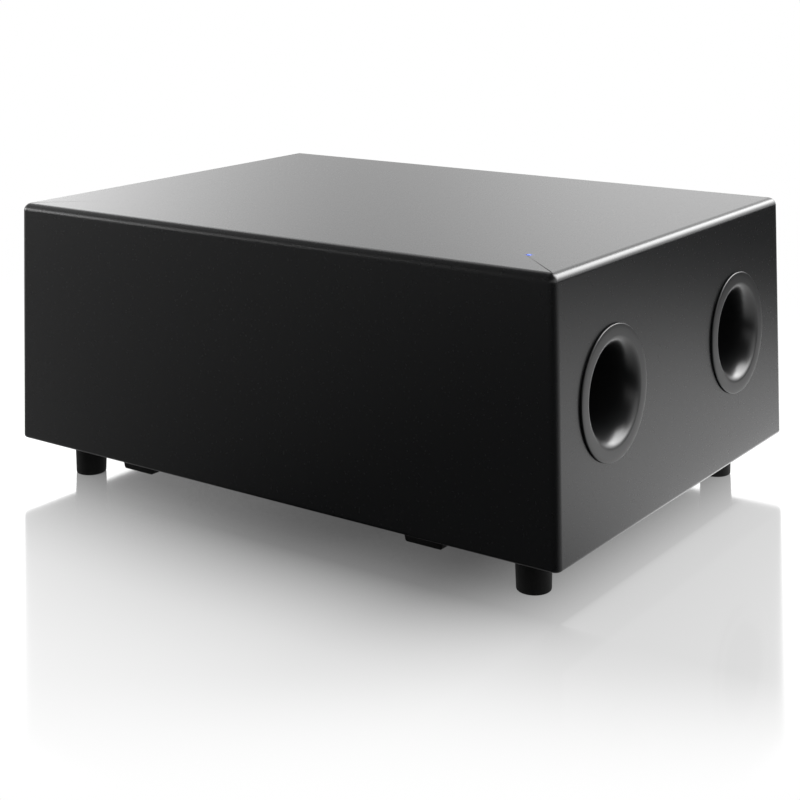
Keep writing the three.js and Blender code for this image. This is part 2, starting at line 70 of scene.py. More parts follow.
ROUND = 112  # facets of a large turned piece
SMALL_ROUND = 40
OVER = 1.0  # how far a cutting tool reaches past what it cuts

CABINET, CONE = "cabinet", "cone_assembly"
CORNERS = ("front_left", "front_right", "rear_right", "rear_left")
PORTS = ("port_tube_front", "port_tube_rear")
KNOBS = ("volume_knob", "crossover_knob")
JACKS = ("line_jack_left", "line_jack_right")


def box(node):
    """Lowest and highest corner of a CAD node in millimetres."""
    low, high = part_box(node)
    return low / MM, high / MM


def middle(node):
    low, high = box(node)
    return (low + high) / 2


def span(node):
    low, high = box(node)
    return high - low


def heights(node):
    return [corner.z for corner in box(node)]


def over(node):
    """The middle of a node in plan, at height 0."""
    at = middle(node)
    return Vector((at.x, at.y, 0))


SHELL_LOW, SHELL_HIGH = box("cabinet_shell")
BAFFLE_LOW, BAFFLE_HIGH = box("bottom_baffle")
SIDE_X = SHELL_HIGH.x
WOOFER = over("woofer_basket") + Vector((0, 0, BAFFLE_LOW.z))
AMP = over("amp_panel")
LIGHT_AT = over("led_lens")


# Shader nodes


def plug(tree, item, socket):
    """Links an output to an input, or sets the input to a plain value."""
    item = item.socket if isinstance(item, Value) else item
    if isinstance(item, bpy.types.NodeSocket):
        tree.links.new(item, socket)
    else:
        socket.default_value = item


def add(tree, kind, inputs=None, **settings):
    """A new shader node with these settings and inputs."""
    made = tree.nodes.new("ShaderNode" + kind)
    for name, value in settings.items():
        setattr(made, name, value)
    for key, item in (inputs or {}).items():
        plug(tree, item, made.inputs[key])
    return made


class Value:
    """A node's output. Arithmetic on it adds Math nodes."""

    def __init__(self, tree, socket):
        self.tree, self.socket = tree, socket

    def op(self, operation, *others):
        inputs = dict(enumerate((self, *others)))
        return Value(self.tree, add(self.tree, "Math", inputs, operation=operation).outputs[0])

    __add__ = partialmethod(op, "ADD")
    __sub__ = partialmethod(op, "SUBTRACT")
    __mul__ = partialmethod(op, "MULTIPLY")
    __truediv__ = partialmethod(op, "DIVIDE")
    __pow__ = partialmethod(op, "POWER")
    __neg__ = partialmethod(op, "MULTIPLY", -1.0)
    above = partialmethod(op, "MAXIMUM")
    below = partialmethod(op, "MINIMUM")
    size = partialmethod(op, "ABSOLUTE")
    exp = partialmethod(op, "EXPONENT")

    def bell(self, centre, width):
        """1 at the centre, falling like a normal curve."""
        return (-(((self - centre) / width) ** 2.0)).exp()

    def ramp(self, low, high):
        """0 at low, 1 at high, smooth in between."""
        inputs = {"Value": self, "From Min": low, "From Max": high}
        made = add(self.tree, "MapRange", inputs, interpolation_type="SMOOTHSTEP")
        return Value(self.tree, made.outputs["Result"])

    def toward(self, other, share):
        """This value at share 0, the other at share 1."""
        return self + share * (-self + other)


def parts(tree, socket):
    """The x, y and z of a vector output."""
    return [Value(tree, output) for output in add(tree, "SeparateXYZ", {0: socket}).outputs]


def mixed(tree, share, *colours):
    """The second colour over the first by share. A colour is a tuple or an output."""
    first, second = ((*c, 1.0) if isinstance(c, tuple) else c for c in colours)
    return add(tree, "Mix", {0: share, 6: first, 7: second}, data_type="RGBA").outputs[2]


class Finish:
    """A Principled material whose patterns are placed in millimetres of the part's own frame."""

    def __init__(self, name, colour, roughness, metallic=0.0, ior=1.5, specular=0.5, slot=None):
        self.material = bpy.data.materials.new(name)
        self.material.use_nodes = True
        self.tree = self.material.node_tree
        self.shader = self.tree.nodes["Principled BSDF"]
        self.colour, self.roughness, self.bumps = colour, roughness, None
        self.put("Base Color", (*colour, 1.0))
        self.put("Roughness", roughness)
        self.put("Metallic", metallic)
        self.put("IOR", ior)
        self.put("Specular IOR Level", specular)
        place = add(self.tree, "TexCoord").outputs["Object"]
        self.place = add(self.tree, "VectorMath", {0: place, "Scale": 1 / MM}, operation="SCALE").outputs[0]

    def put(self, name, item):
        plug(self.tree, item, self.shader.inputs[name])

    def texture(self, kind, output, size, stretch, inputs, **settings):
        place = add(self.tree, "Mapping", {0: self.place, "Scale": [1 / s for s in stretch]}).outputs[0]
        made = add(self.tree, kind, {"Vector": place, "Scale": 1 / size, **inputs}, **settings)
        return Value(self.tree, made.outputs[output])

    def noise(self, grain, detail=3.0, stretch=(1, 1, 1), distortion=0.0):
        """Noise from 0 to 1 with this grain size in millimetres, drawn out along an axis by stretch."""
        return self.texture("TexNoise", "Fac", grain, stretch, {"Detail": detail, "Distortion": distortion})

    def cells(self, size, feature="F1", stretch=(1, 1, 1)):
        return self.texture("TexVoronoi", "Distance", size, stretch, {}, feature=feature)

    def axes(self):
        return parts(self.tree, self.place)

    def radius(self, axis):
        """Distance from a vertical axis."""
        x, y, _ = self.axes()
        return ((x - axis.x) ** 2.0 + (y - axis.y) ** 2.0) ** 0.5

    def bump(self, height, depth):
        """Adds relief of this depth in millimetres for a height of 0 to 1."""
        inputs = {"Strength": 1.0, "Distance": depth * MM, "Height": height}
        if self.bumps:
            inputs["Normal"] = self.bumps
        self.bumps = add(self.tree, "Bump", inputs).outputs["Normal"]
        self.put("Normal", self.bumps)

    def tint(self, share, colour):
        """Blends a second colour in by share."""
        links = self.shader.inputs["Base Color"].links
        first = links[0].from_socket if links else self.colour
        self.put("Base Color", mixed(self.tree, share, first, colour))

    def rough(self, grain, spread, **more):
        """Noise takes the roughness up and down by spread around its mean."""
        self.put("Roughness", (self.noise(grain, **more) - 0.5) * (2 * spread) + self.roughness)

    def edge_wear(self, amount, colour):
        """A faint lighter rub where an edge is sharp."""
        rounded = add(self.tree, "Bevel", {"Radius": 0.7 * MM}, samples=4).outputs[0]
        normal = add(self.tree, "NewGeometry").outputs["Normal"]
        turn = add(self.tree, "VectorMath", {0: rounded, 1: normal}, operation="DOT_PRODUCT")
        bend = Value(self.tree, turn.outputs["Value"]) * -1.0 + 1.0
        self.tint((bend * self.noise(3.0) * (8 * amount)).below(amount), colour)


def lacquer():
    f = Finish("cabinet_lacquer", (0.0050, 0.0052, 0.0055), 0.27)
    f.bump(f.noise(2.4, detail=2.0), 0.0025)
    f.bump(f.noise(0.35, detail=1.0), 0.0006)
    f.rough(1.7, 0.01, detail=2.0)
    f.tint(f.noise(0.8).ramp(0.55, 0.9) * 0.10, (0.010, 0.0103, 0.0107))
    # Painted glow: the paint round the status light emits blue light, standing in for the light's glow on it
    halo, skin = 1.9, 0.5
    top = f.axes()[2].ramp(SHELL_HIGH.z - 2 * skin, SHELL_HIGH.z - skin)
    glow = (-((f.radius(LIGHT_AT) / halo) ** 2.0)).exp() * top
    f.put("Emission Color", (0.05, 0.14, 1.0, 1.0))
    f.put("Emission Strength", glow * 0.6)
    return f.material


def moulded_plastic():
    f = Finish("moulded_black", (0.0065, 0.0067, 0.0070), 0.31)
    f.bump(f.cells(0.5), 0.006)
    f.rough(14.0, 0.04)
    f.tint(f.noise(6.0).ramp(0.4, 0.8) * 0.3, (0.011, 0.011, 0.0115))
    return f.material


def black_rubber():
    f = Finish("rubber_black", (0.0040, 0.0040, 0.0040), 0.60, specular=0.12)
    f.bump(f.noise(0.6, detail=4.0), 0.02)
    f.rough(5.0, 0.08)
    f.tint(f.noise(2.2).ramp(0.5, 0.85) * 0.5, (0.013, 0.013, 0.0125))
    return f.material


def surround_rubber():
    f = Finish("surround_rubber", (0.011, 0.011, 0.0115), 0.48, slot="rubber_black")
    f.bump(f.noise(0.9, detail=3.0), 0.012)
    f.rough(8.0, 0.06)
    return f.material


def powder_coat():
    f = Finish("coated_steel", (0.012, 0.0122, 0.0125), 0.42)
    f.bump(f.cells(0.8), 0.03)
    f.bump(f.noise(0.25, detail=2.0), 0.006)
    f.rough(10.0, 0.05)
    f.edge_wear(0.35, (0.06, 0.06, 0.062))
    return f.material


def turned_steel():
    """Zinc-plated steel with the fine rings left by turning about the woofer's axis."""
    f = Finish("zinc_turned", (0.60, 0.61, 0.63), 0.30, metallic=1.0, slot="zinc_steel")
    rings = (f.radius(WOOFER) * 7.0 + f.noise(4.0) * 3.0).op("SINE") * 0.5 + 0.5
    f.bump(rings, 0.004)
    f.rough(6.0, 0.08)
    f.tint(f.noise(9.0).ramp(0.45, 0.75) * 0.4, (0.66, 0.62, 0.50))
    return f.material


def folded_steel():
    f = Finish("zinc_sheet", (0.58, 0.59, 0.61), 0.34, metallic=1.0, slot="zinc_steel")
    f.bump(f.noise(0.5, stretch=(30, 1, 1)), 0.004)
    f.rough(7.0, 0.08, stretch=(3, 1, 1))
    f.tint(f.cells(5.0).ramp(0.1, 0.7) * 0.25, (0.44, 0.46, 0.50))
    return f.material


def nickel():
    f = Finish("nickel_plate", (0.66, 0.63, 0.57), 0.20, metallic=1.0, slot="zinc_steel")
    f.bump(f.noise(0.4, stretch=(1, 1, 12)), 0.003)
    f.rough(3.0, 0.06)
    return f.material


def black_oxide():
    f = Finish("black_oxide", (0.020, 0.020, 0.022), 0.36, metallic=0.6)
    f.bump(f.noise(0.5), 0.008)
    f.rough(2.0, 0.08)
    f.edge_wear(0.5, (0.16, 0.155, 0.15))
    return f.material


def extruded_aluminium():
    f = Finish("heat_sink_aluminium", (0.60, 0.61, 0.62), 0.32, metallic=1.0)
    f.bump(f.noise(0.4, stretch=(1, 60, 1)), 0.006)
    f.rough(3.0, 0.08, stretch=(1, 12, 1))
    return f.material


def ferrite():
    f = Finish("ferrite", (0.035, 0.036, 0.038), 0.55)
    f.bump(f.noise(0.5, detail=5.0), 0.02)
    f.tint(f.noise(1.5, detail=5.0).ramp(0.5, 0.75) * 0.6, (0.075, 0.074, 0.076))
    f.rough(9.0, 0.10)
    f.edge_wear(0.6, (0.12, 0.12, 0.12))
    return f.material


def cone_paper():
    f = Finish("cone_paper", (0.016, 0.016, 0.0165), 0.78)
    f.bump(f.noise(1.1, detail=5.0, distortion=1.5), 0.09)
    fibres = f.noise(0.5, detail=2.0, stretch=(7, 1, 1)) + f.noise(0.5, detail=2.0, stretch=(1, 7, 1))
    f.tint((fibres * 0.5).ramp(0.55, 0.72) * 0.7, (0.060, 0.058, 0.055))
    f.rough(4.0, 0.10)
    return f.material


def spider_cloth():
    f = Finish("spider_cloth", (0.50, 0.34, 0.13), 0.82)
    thread = 4.2  # radians of weave for each millimetre
    warp, weft = ((axis * thread).op("SINE") for axis in f.axes()[:2])
    weave = warp * weft * 0.5 + 0.5
    f.bump(weave, 0.12)
    # Painted shade: the cloth is darker in the lowest hollows of the weave
    f.tint(weave.ramp(0.2, 0.0) * 0.6, (0.24, 0.15, 0.05))
    f.tint(f.noise(7.0).ramp(0.5, 0.8) * 0.4, (0.58, 0.44, 0.22))
    return f.material


def copper():
    f = Finish("copper", (0.72, 0.30, 0.13), 0.30, metallic=1.0)
    f.bump(f.noise(0.3), 0.006)
    f.tint(f.noise(2.5).ramp(0.45, 0.8) * 0.5, (0.50, 0.20, 0.10))
    f.rough(2.0, 0.08)
    return f.material


def circuit_board():
    f = Finish("circuit_board", (0.008, 0.075, 0.030), 0.30)
    tracks = f.cells(6.0, feature="DISTANCE_TO_EDGE", stretch=(1, 2.5, 50))
    f.tint(tracks.ramp(0.10, 0.05) * 0.8, (0.020, 0.15, 0.060))
    f.bump(tracks.ramp(0.10, 0.06), 0.03)
    f.rough(3.0, 0.06)
    return f.material


def polyester_wadding():
    f = Finish("wadding", (0.74, 0.73, 0.70), 0.95)
    fibres = f.noise(0.7, detail=6.0, stretch=(9, 2, 1), distortion=2.0)
    f.bump(fibres, 0.8)
    f.tint(fibres.ramp(0.35, 0.65), (0.86, 0.855, 0.84))
    f.put("Sheen Weight", 0.4)
    return f.material


def fibreboard():
    f = Finish("raw_fibreboard", (0.34, 0.21, 0.105), 0.85)
    flecks = f.noise(0.9, detail=6.0, distortion=0.8)
    f.tint(flecks.ramp(0.42, 0.68), (0.46, 0.31, 0.17))
    f.tint(f.noise(0.35, detail=3.0).ramp(0.62, 0.75) * 0.5, (0.15, 0.085, 0.04))
    f.bump(flecks, 0.07)
    return f.material


def plain_plastic(name, colour, roughness=0.38):
    f = Finish(name, colour, roughness)
    f.bump(f.noise(0.5), 0.005)
    f.rough(4.0, 0.05)
    f.tint(f.noise(3.0).ramp(0.3, 0.9) * 0.2, tuple(0.7 * c for c in colour))
    return f.material


def printed_ink():
    f = Finish("panel_print", (0.62, 0.62, 0.60), 0.6, slot="coated_steel")
    f.tint(f.noise(0.4).ramp(0.5, 0.8) * 0.5, (0.38, 0.38, 0.37))
    return f.material


def status_light():
    """A clear lens lit from below, brightest in its middle."""
    f = Finish("light_pipe", (0.02, 0.05, 0.30), 0.12, ior=1.49, specular=0.12)
    glow = f.radius(LIGHT_AT).ramp(1.9, 0.3)
    f.put("Emission Color", mixed(f.tree, glow, (0.02, 0.06, 0.85), (0.13, 0.26, 1.0)))
    f.put("Emission Strength", glow * 0.75 + 0.55)
    f.bump(f.noise(0.4), 0.003)
    return f.material


LACQUER, PLASTIC, RUBBER, ROLL_RUBBER = lacquer(), moulded_plastic(), black_rubber(), surround_rubber()
POWDER, TURNED, SHEET, NICKEL = powder_coat(), turned_steel(), folded_steel(), nickel()
OXIDE, ALUMINIUM, FERRITE, PAPER = black_oxide(), extruded_aluminium(), ferrite(), cone_paper()
CLOTH, COPPER, BOARD, WADDING = spider_cloth(), copper(), circuit_board(), polyester_wadding()
FIBRE, INK, LIGHT = fibreboard(), printed_ink(), status_light()
RED = plain_plastic("insulator_red", (0.42, 0.012, 0.010))
WHITE = plain_plastic("insulator_white", (0.62, 0.61, 0.58))
AMBER = plain_plastic("winding_tape", (0.55, 0.30, 0.04), 0.30)
SLEEVE = plain_plastic("capacitor_sleeve", (0.010, 0.016, 0.05), 0.28)


# Mesh building. Every mesh is made in millimetres.


def filleted(points, closed=True, steps=5):
    """An outline of (a, b) points, where a third number rounds that corner with an arc of that radius."""
    made = []
    count = len(points)
    for i, point in enumerate(points):
        here = Vector(point[:2])
        radius = point[2] if len(point) > 2 else 0
        if not radius or (not closed and i in (0, count - 1)):
            made.append(here)
            continue
        before = Vector(points[i - 1][:2]) - here
        after = Vector(points[(i + 1) % count][:2]) - here
        half = before.angle(after) / 2
        reach = min(radius / math.tan(half), 0.499 * before.length, 0.499 * after.length)
        turn_radius = reach * math.tan(half)
        bisector = (before.normalized() + after.normalized()).normalized()
        centre = here + bisector * (turn_radius / math.sin(half))
        first = here + before.normalized() * reach - centre
        last = here + after.normalized() * reach - centre
        sweep = math.atan2(first.cross(last), first.dot(last))
        made += [centre + Matrix.Rotation(sweep * k / steps, 2) @ first for k in range(steps + 1)]
    return [tuple(p) for p in made]


def arc(a, b, radius_a, radius_b, first, last, steps):
    """Points of an elliptical arc about (a, b), in degrees."""
    angles = [math.radians(first + (last - first) * i / steps) for i in range(steps + 1)]
    return [(a + radius_a * math.cos(t), b + radius_b * math.sin(t)) for t in angles]


def finished(bm, part):
    """Gives every face one material number and turns it outward."""
    for face in bm.faces:
        face.material_index = part
    bmesh.ops.recalc_face_normals(bm, faces=bm.faces)
    return bm


def turned(outline, segments=ROUND, closed=True, ripple=None, part=0):
    """The (radius, height) outline turned about Z. ripple(angle, radius, height) gives another radius."""
    bm = bmesh.new()
    columns = []
    for radius, height in outline:
        if radius < 1e-6:
            columns.append([bm.verts.new((0, 0, height))] * segments)
            continue
        column = []
        for k in range(segments):
            angle = 2 * math.pi * k / segments
            r = ripple(angle, radius, height) if ripple else radius
            column.append(bm.verts.new((r * math.cos(angle), r * math.sin(angle), height)))
        columns.append(column)
    for low, high in zip(columns, columns[1:] + (columns[:1] if closed else [])):
        for k in range(segments):
            n = (k + 1) % segments
            corners = list(dict.fromkeys((low[k], low[n], high[n], high[k])))
            if len(corners) > 2:
                bm.faces.new(corners)
    return finished(bm, part)


def lathe(points, segments=ROUND, closed=True, steps=5, **more):
    """The filleted outline of (radius, height) points turned about Z."""
    return turned(filleted(points, closed, steps), segments, closed, **more)


def prism(outline, low, high, edge=0.0, steps=2, part=0):
    """The outline of (x, y) points pushed up from low to high, with its rims rounded by edge."""
    bm = bmesh.new()
    rings = [[bm.verts.new((x, y, z)) for x, y in outline] for z in (low, high)]
    caps = [bm.faces.new(rings[0][::-1]), bm.faces.new(rings[1])]
    for k in range(len(outline)):
        n = (k + 1) % len(outline)
        bm.faces.new((rings[0][k], rings[0][n], rings[1][n], rings[1][k]))
    if edge:
        rims = list({e for cap in caps for e in cap.edges})
        bmesh.ops.bevel(bm, geom=rims, offset=edge, segments=steps, profile=0.5, affect="EDGES",
                        clamp_overlap=True)
    return finished(bm, part)


def rectangle(width, length, corner=0.0, x=0.0, y=0.0, steps=5):
    w, h = width / 2, length / 2
    corners = ((x - w, y - h), (x + w, y - h), (x + w, y + h), (x - w, y + h))
    return filleted([(*at, corner) for at in corners], steps=steps)


def slab(width, length, low, high, corner=0.0, x=0.0, y=0.0, round_steps=5, **more):
    """A plate with its upright corners rounded."""
    return prism(rectangle(width, length, corner, x, y, round_steps), low, high, **more)


def block(width, length, low, high, edge=0.4, x=0.0, y=0.0, part=0, steps=2):
    """A box with every edge rounded."""
    return slab(width, length, low, high, edge * 1.2, x, y, 3, edge=edge, steps=steps, part=part)


def rod(radius, low, high, edge=0.0, segments=SMALL_ROUND, part=0):
    points = [(0, low), (radius, low, edge), (radius, high, edge), (0, high)]
    return lathe(points, segments, closed=False, steps=3, part=part)


def moved(bm, at=(0, 0, 0), matrix=Matrix.Identity(4)):
    bmesh.ops.transform(bm, matrix=Matrix.Translation(at) @ matrix, verts=bm.verts)
    return bm


def spun(bm, angle, axis="Z", at=(0, 0, 0)):
    """Turned by an angle about an axis through the origin, then moved."""
    return moved(bm, at, Matrix.Rotation(angle, 4, axis))


def along_x(bm, at=(0, 0, 0)):
    """Turned from +Z to +X, then moved."""
    return spun(bm, math.pi / 2, "Y", at)


def curve(points, steps):
    """A smooth curve through the points, with this many steps between two of them."""
    knots = [Vector(p) for p in points]
    knots = [2 * knots[0] - knots[1], *knots, 2 * knots[-1] - knots[-2]]
    path = []
    for i in range(1, len(knots) - 2):
        p0, p1, p2, p3 = knots[i - 1:i + 3]
        for k in range(steps + (i == len(knots) - 3)):
            t = k / steps
            path.append(0.5 * (2 * p1 + (p2 - p0) * t + (2 * p0 - 5 * p1 + 4 * p2 - p3) * t * t
                               + (3 * p1 - p0 - 3 * p2 + p3) * t ** 3))
    return path


def tube(points, radius, sides=16, steps=12, twist=0.0, strands=0, depth=0.0, part=0, offset=(0, 0)):
    """A round cable along a curve through the points; strands and twist give it a stranded surface."""
    bm = bmesh.new()
    path = curve(points, steps)
    side = (path[1] - path[0]).orthogonal().normalized()
    run, rings = 0.0, []
    for i, centre in enumerate(path):
        ahead = (path[min(i + 1, len(path) - 1)] - path[max(i - 1, 0)]).normalized()
        side = (side - ahead * side.dot(ahead)).normalized()
        up = ahead.cross(side)
        run += (centre - path[i - 1]).length if i else 0.0
        at = centre + side * offset[0] + up * offset[1]
        ring = []
        for k in range(sides):
            a = 2 * math.pi * k / sides
            r = radius - depth * (0.5 + 0.5 * math.cos(strands * a + twist * run)) if strands else radius
            ring.append(bm.verts.new(at + (side * math.cos(a) + up * math.sin(a)) * r))
        rings.append(ring)
    for low, high in zip(rings, rings[1:]):
        for k in range(sides):
            n = (k + 1) % sides
            bm.faces.new((low[k], low[n], high[n], high[k]))
    bm.faces.new(rings[0][::-1])
    bm.faces.new(rings[-1])
    return finished(bm, part)


def merged(*meshes):
    """All the meshes in one, each keeping its material numbers."""
    out = bmesh.new()
    for bm in meshes:
        mesh = bpy.data.meshes.new("merge")
        bm.to_mesh(mesh)
        bm.free()
        out.from_mesh(mesh)
        bpy.data.meshes.remove(mesh)
    return out


def carved(base, tools, joined=()):
    """The base with the joined meshes added, then the tools cut out of it."""
    temporary = []

    def as_object(bm):
        mesh = bpy.data.meshes.new("carve")
        bm.to_mesh(mesh)
        bm.free()
        obj = bpy.data.objects.new("carve", mesh)
        bpy.context.scene.collection.objects.link(obj)
        temporary.append(obj)
        return obj

    body = as_object(base)
    for operation, items in (("UNION", joined), ("DIFFERENCE", tools)):
        for item in items:
            modifier = body.modifiers.new("cut", "BOOLEAN")
            modifier.operation, modifier.solver = operation, "EXACT"
            modifier.object = as_object(item)
    bpy.context.view_layer.update()
    result = bpy.data.meshes.new_from_object(body.evaluated_get(bpy.context.evaluated_depsgraph_get()))
    out = bmesh.new()
    out.from_mesh(result)
    # Removing a mesh removes its object too
    for mesh in [result, *(obj.data for obj in temporary)]:
        bpy.data.meshes.remove(mesh)
    bmesh.ops.remove_doubles(out, verts=out.verts, dist=1e-4)
    return out


def piece(name, bm, materials, body=CABINET, at=(0, 0, 0), stands_for=None, crease=32, weighted=False):
    """Puts a mesh in the scene as a piece of the object. It stands for the CAD node of the same name."""
    moved(bm, at)
    bmesh.ops.scale(bm, vec=(MM, MM, MM), verts=bm.verts)
    mesh = bpy.data.meshes.new(name)
    bm.to_mesh(mesh)
    bm.free()
    for material in materials if isinstance(materials, list) else [materials]:
        mesh.materials.append(material)
    mesh.polygons.foreach_set("use_smooth", [True] * len(mesh.polygons))
    mesh.set_sharp_from_angle(angle=math.radians(crease))
    obj = bpy.data.objects.new(name + "_look", mesh)
    bpy.context.scene.collection.objects.link(obj)
    if weighted:
        obj.modifiers.new("flat_faces", "WEIGHTED_NORMAL").keep_sharp = True
    if body:
        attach(obj, body)
    nodes = [name] if stands_for is None else stands_for
    if nodes:
        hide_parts(*nodes)
    return obj


def flexing(obj, rim, neck):
    """obj bends with the cone: still at radius rim, moving fully at radius neck, both in millimetres."""
    start, end = (((WOOFER.x + radius) * MM, WOOFER.y * MM, 0) for radius in (rim, neck))
    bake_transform(obj, CABINET, CONE, start, end)
    for vertex, weight in zip(obj.data.vertices, obj.data.attributes["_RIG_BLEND"].data):
        radius = math.hypot(vertex.co.x / MM - WOOFER.x, vertex.co.y / MM - WOOFER.y)
        t = min(max((rim - radius) / (rim - neck), 0.0), 1.0)
        weight.value = t * t * (3 - 2 * t)


# Cabinet


def make_cabinet():
    low, high = SHELL_LOW, SHELL_HIGH
    corner, top_edge, bottom_edge, wall = 4.8, 5.4, 2.2, 15.0
    port_hole, light_hole = 36.2, 1.8
    centre, size = (low + high) / 2, high - low
    bm = bmesh.new()
    bmesh.ops.create_cube(bm, size=1.0, matrix=Matrix.Translation(centre) @ Matrix.Diagonal((*size, 1)))

    def round_edges(test, radius, steps):
        edges = [e for e in bm.edges if test(e)]
        bmesh.ops.bevel(bm, geom=edges, offset=radius, segments=steps, profile=0.5, affect="EDGES")

    def is_rim(edge, z):
        flat = all(abs(v.co.z - z) < 1e-3 for v in edge.verts)
        return flat and any(abs(f.normal.z) < 0.5 for f in edge.link_faces)

    round_edges(lambda e: abs(e.verts[0].co.z - e.verts[1].co.z) > 1, corner, 8)
    round_edges(lambda e: is_rim(e, high.z), top_edge, 8)
    round_edges(lambda e: is_rim(e, low.z), bottom_edge, 4)
    for axis, spans in enumerate((9, 7, 5)):
        normal = [0, 0, 0]
        normal[axis] = 1
        for i in range(1, spans):
            cut = low.lerp(high, i / spans)
            bmesh.ops.bisect_plane(bm, geom=[*bm.verts, *bm.edges, *bm.faces], plane_co=cut, plane_no=normal)
    tools = [block(size.x - 2 * wall, size.y - 2 * wall, low.z - 5, high.z - wall, 0.5, centre.x, centre.y)]
    for node in PORTS:
        at = middle(node)
        tools.append(along_x(rod(port_hole, -20, 20, segments=96), (SIDE_X, at.y, at.z)))
    tools.append(moved(rod(light_hole, high.z - wall - OVER, high.z + OVER, segments=32), LIGHT_AT))
    piece("cabinet_shell", carved(bm, tools), LACQUER, crease=25, weighted=True)


def make_baffle():
    low, high = BAFFLE_LOW, BAFFLE_HIGH
    size, centre = high - low, (low + high) / 2
    deck, under = high.z, low.z - OVER
    base = block(size.x, size.y, low.z, deck, 0.5, centre.x, centre.y)
    seat, rim, throat = box("woofer_basket")[0].z + 3.2, 101.3, 91.2
    opening = turned([(0, under), (rim, under), (rim, seat), (throat, seat), (throat, deck + OVER),
                      (0, deck + OVER)], closed=False)
    panel, can, inlet, at = span("amp_panel"), span("amp_can"), span("mains_inlet"), middle("mains_inlet")
    tools = [
        moved(opening, (WOOFER.x, WOOFER.y, 0)),
        slab(panel.x + 0.8, panel.y + 0.8, under, box("amp_panel")[1].z + 0.3, 12.2, AMP.x, AMP.y, 8),
        slab(can.x + 1, can.y + 1, under - OVER, deck + OVER, 1, AMP.x, AMP.y),
        slab(inlet.x + 0.6, inlet.y + 0.6, under, low.z + 2.3, 1.5, at.x, at.y),
        slab(46.6, 26.6, under - OVER, deck + OVER, 1, at.x, at.y),
    ]
    for corner in CORNERS:
        tools.append(moved(rod(2.2, under, deck - 2, segments=16), over(f"foot_{corner}")))
    piece("bottom_baffle", carved(base, tools), LACQUER, crease=25, weighted=True)


def make_brace():
    size, at = span("internal_brace"), middle("internal_brace")
    port_hole = 28.2

    def lying(outline, reach):
        return along_x(prism([(-b, a) for a, b in outline], -reach, reach), (at.x, 0, 0))

    panel = lying(rectangle(size.y, size.z, 0.6, at.y, at.z, steps=2), size.x / 2)
    tools = [lying(rectangle(80, 78, 14, 0, 119, steps=8), 20)]
    for node in PORTS:
        port = middle(node)
        tools.append(along_x(rod(port_hole, -20, 20, segments=64), (at.x, port.y, port.z)))
    piece("internal_brace", carved(panel, tools), FIBRE, crease=30)


def make_wadding():
    """Loose wadding: a soft slab with pulled-in edges, a lumpy face and its own tufts."""
    size = span("damping_wadding")
    bm = bmesh.new()
    bmesh.ops.create_cube(bm, size=1.0)
    bmesh.ops.subdivide_edges(bm, edges=bm.edges, cuts=47, use_grid_fill=True)
    for vertex in bm.verts:
        x, y, z = (2 * c for c in vertex.co)
        pull = 1 - 0.5 * max(abs(x), abs(y)) ** 14
        place = Vector((x * size.x, y * size.y, z * size.z)) / 2
        lump = noise.noise(place / 34) * 0.5 + 0.5
        tuft = noise.noise(place / 7 + Vector((9, 4, 2))) * 0.5 + 0.5
        inset = 1.2 + 2.6 * lump + 1.4 * tuft
        side = 0.5 * (abs(x) ** 8 + abs(y) ** 8)
        place.z *= pull * (1 - 2 * inset / size.z) if abs(z) > 0.2 else 1
        place.x *= 1 - 2 * side * inset / size.x - 0.004
        place.y *= 1 - 2 * side * inset / size.y - 0.004
        vertex.co = place
    piece("damping_wadding", bm, WADDING, at=middle("damping_wadding"), crease=180)


def make_ports():
    flange, mouth, throat, wall, flare = 40.0, 33.0, 25.0, 2.6, 16.0
    seat, back_in = 0.3, 0.6
    for node in PORTS:
        low, high = box(node)
        at = middle(node)
        face, end = high.x - SIDE_X - back_in, low.x - SIDE_X
        rim = [(flange - 3, seat), (flange, seat, 0.3), (flange, face, 0.9), (flange - 3, face)]
        tail = [(throat, end + 3), (throat, end, 0.8), (throat + wall, end, 0.8), (throat + wall, end + 3)]
        outline = [
            *filleted(rim, closed=False, steps=4),
            *arc(mouth, face - flare, mouth - throat, flare, 90, 180, 20), (throat, end + 40),
            *filleted(tail, closed=False, steps=3),
            *arc(mouth + wall, face - flare - 1.1, mouth - throat, flare - 1.4, 180, 90, 10),
            (mouth + wall, seat),
        ]
        piece(node, along_x(turned(outline, 144)), PLASTIC, at=(SIDE_X, at.y, at.z))


def make_status_light():
    low, high = box("led_lens")
    shoulder, step, stem = 3, low.z + 2, 1.5
    lens = lathe([
        (0, low.z), (shoulder, low.z, 0.3), (shoulder, step, 0.3), (stem, step, 0.2),
        (stem, high.z - 0.45, 0.3), (0.95, high.z - 0.08, 0.5), (0, high.z),
    ], SMALL_ROUND, closed=False)
    piece("led_lens", lens, LIGHT, at=LIGHT_AT)

    low, high = box("led_board")
    top = low.z + 1.6
    fitted = [block(14, 14, low.z, top, 0.15), block(3, 3, top, high.z, 0.3, part=1)]
    for x, y in ((-5, -4), (-5, 0), (5, 3)):
        fitted.append(block(1.2, 2.0, top, top + 0.7, 0.12, x, y, part=2))
    fitted.append(block(5, 3.6, top, top + 0.9, 0.2, 0.5, -4.6, part=2))
    piece("led_board", merged(*fitted), [BOARD, WHITE, PLASTIC], at=LIGHT_AT)


def make_pads():
    foot = 13.0
    for node in ("front_pad_left", "front_pad_right"):
        size, high = span(node), box(node)[1]
        half = size.x / 2
        outline = [(-half, 0, 0.2), (-foot, -size.z, 1.2), (foot, -size.z, 1.2), (half, 0, 0.2)]
        pad = spun(prism(filleted(outline, steps=4), 0, size.y, 0.7, 3), math.pi / 2, "X")
        piece(node, pad, RUBBER, at=(middle(node).x, high.y, high.z))


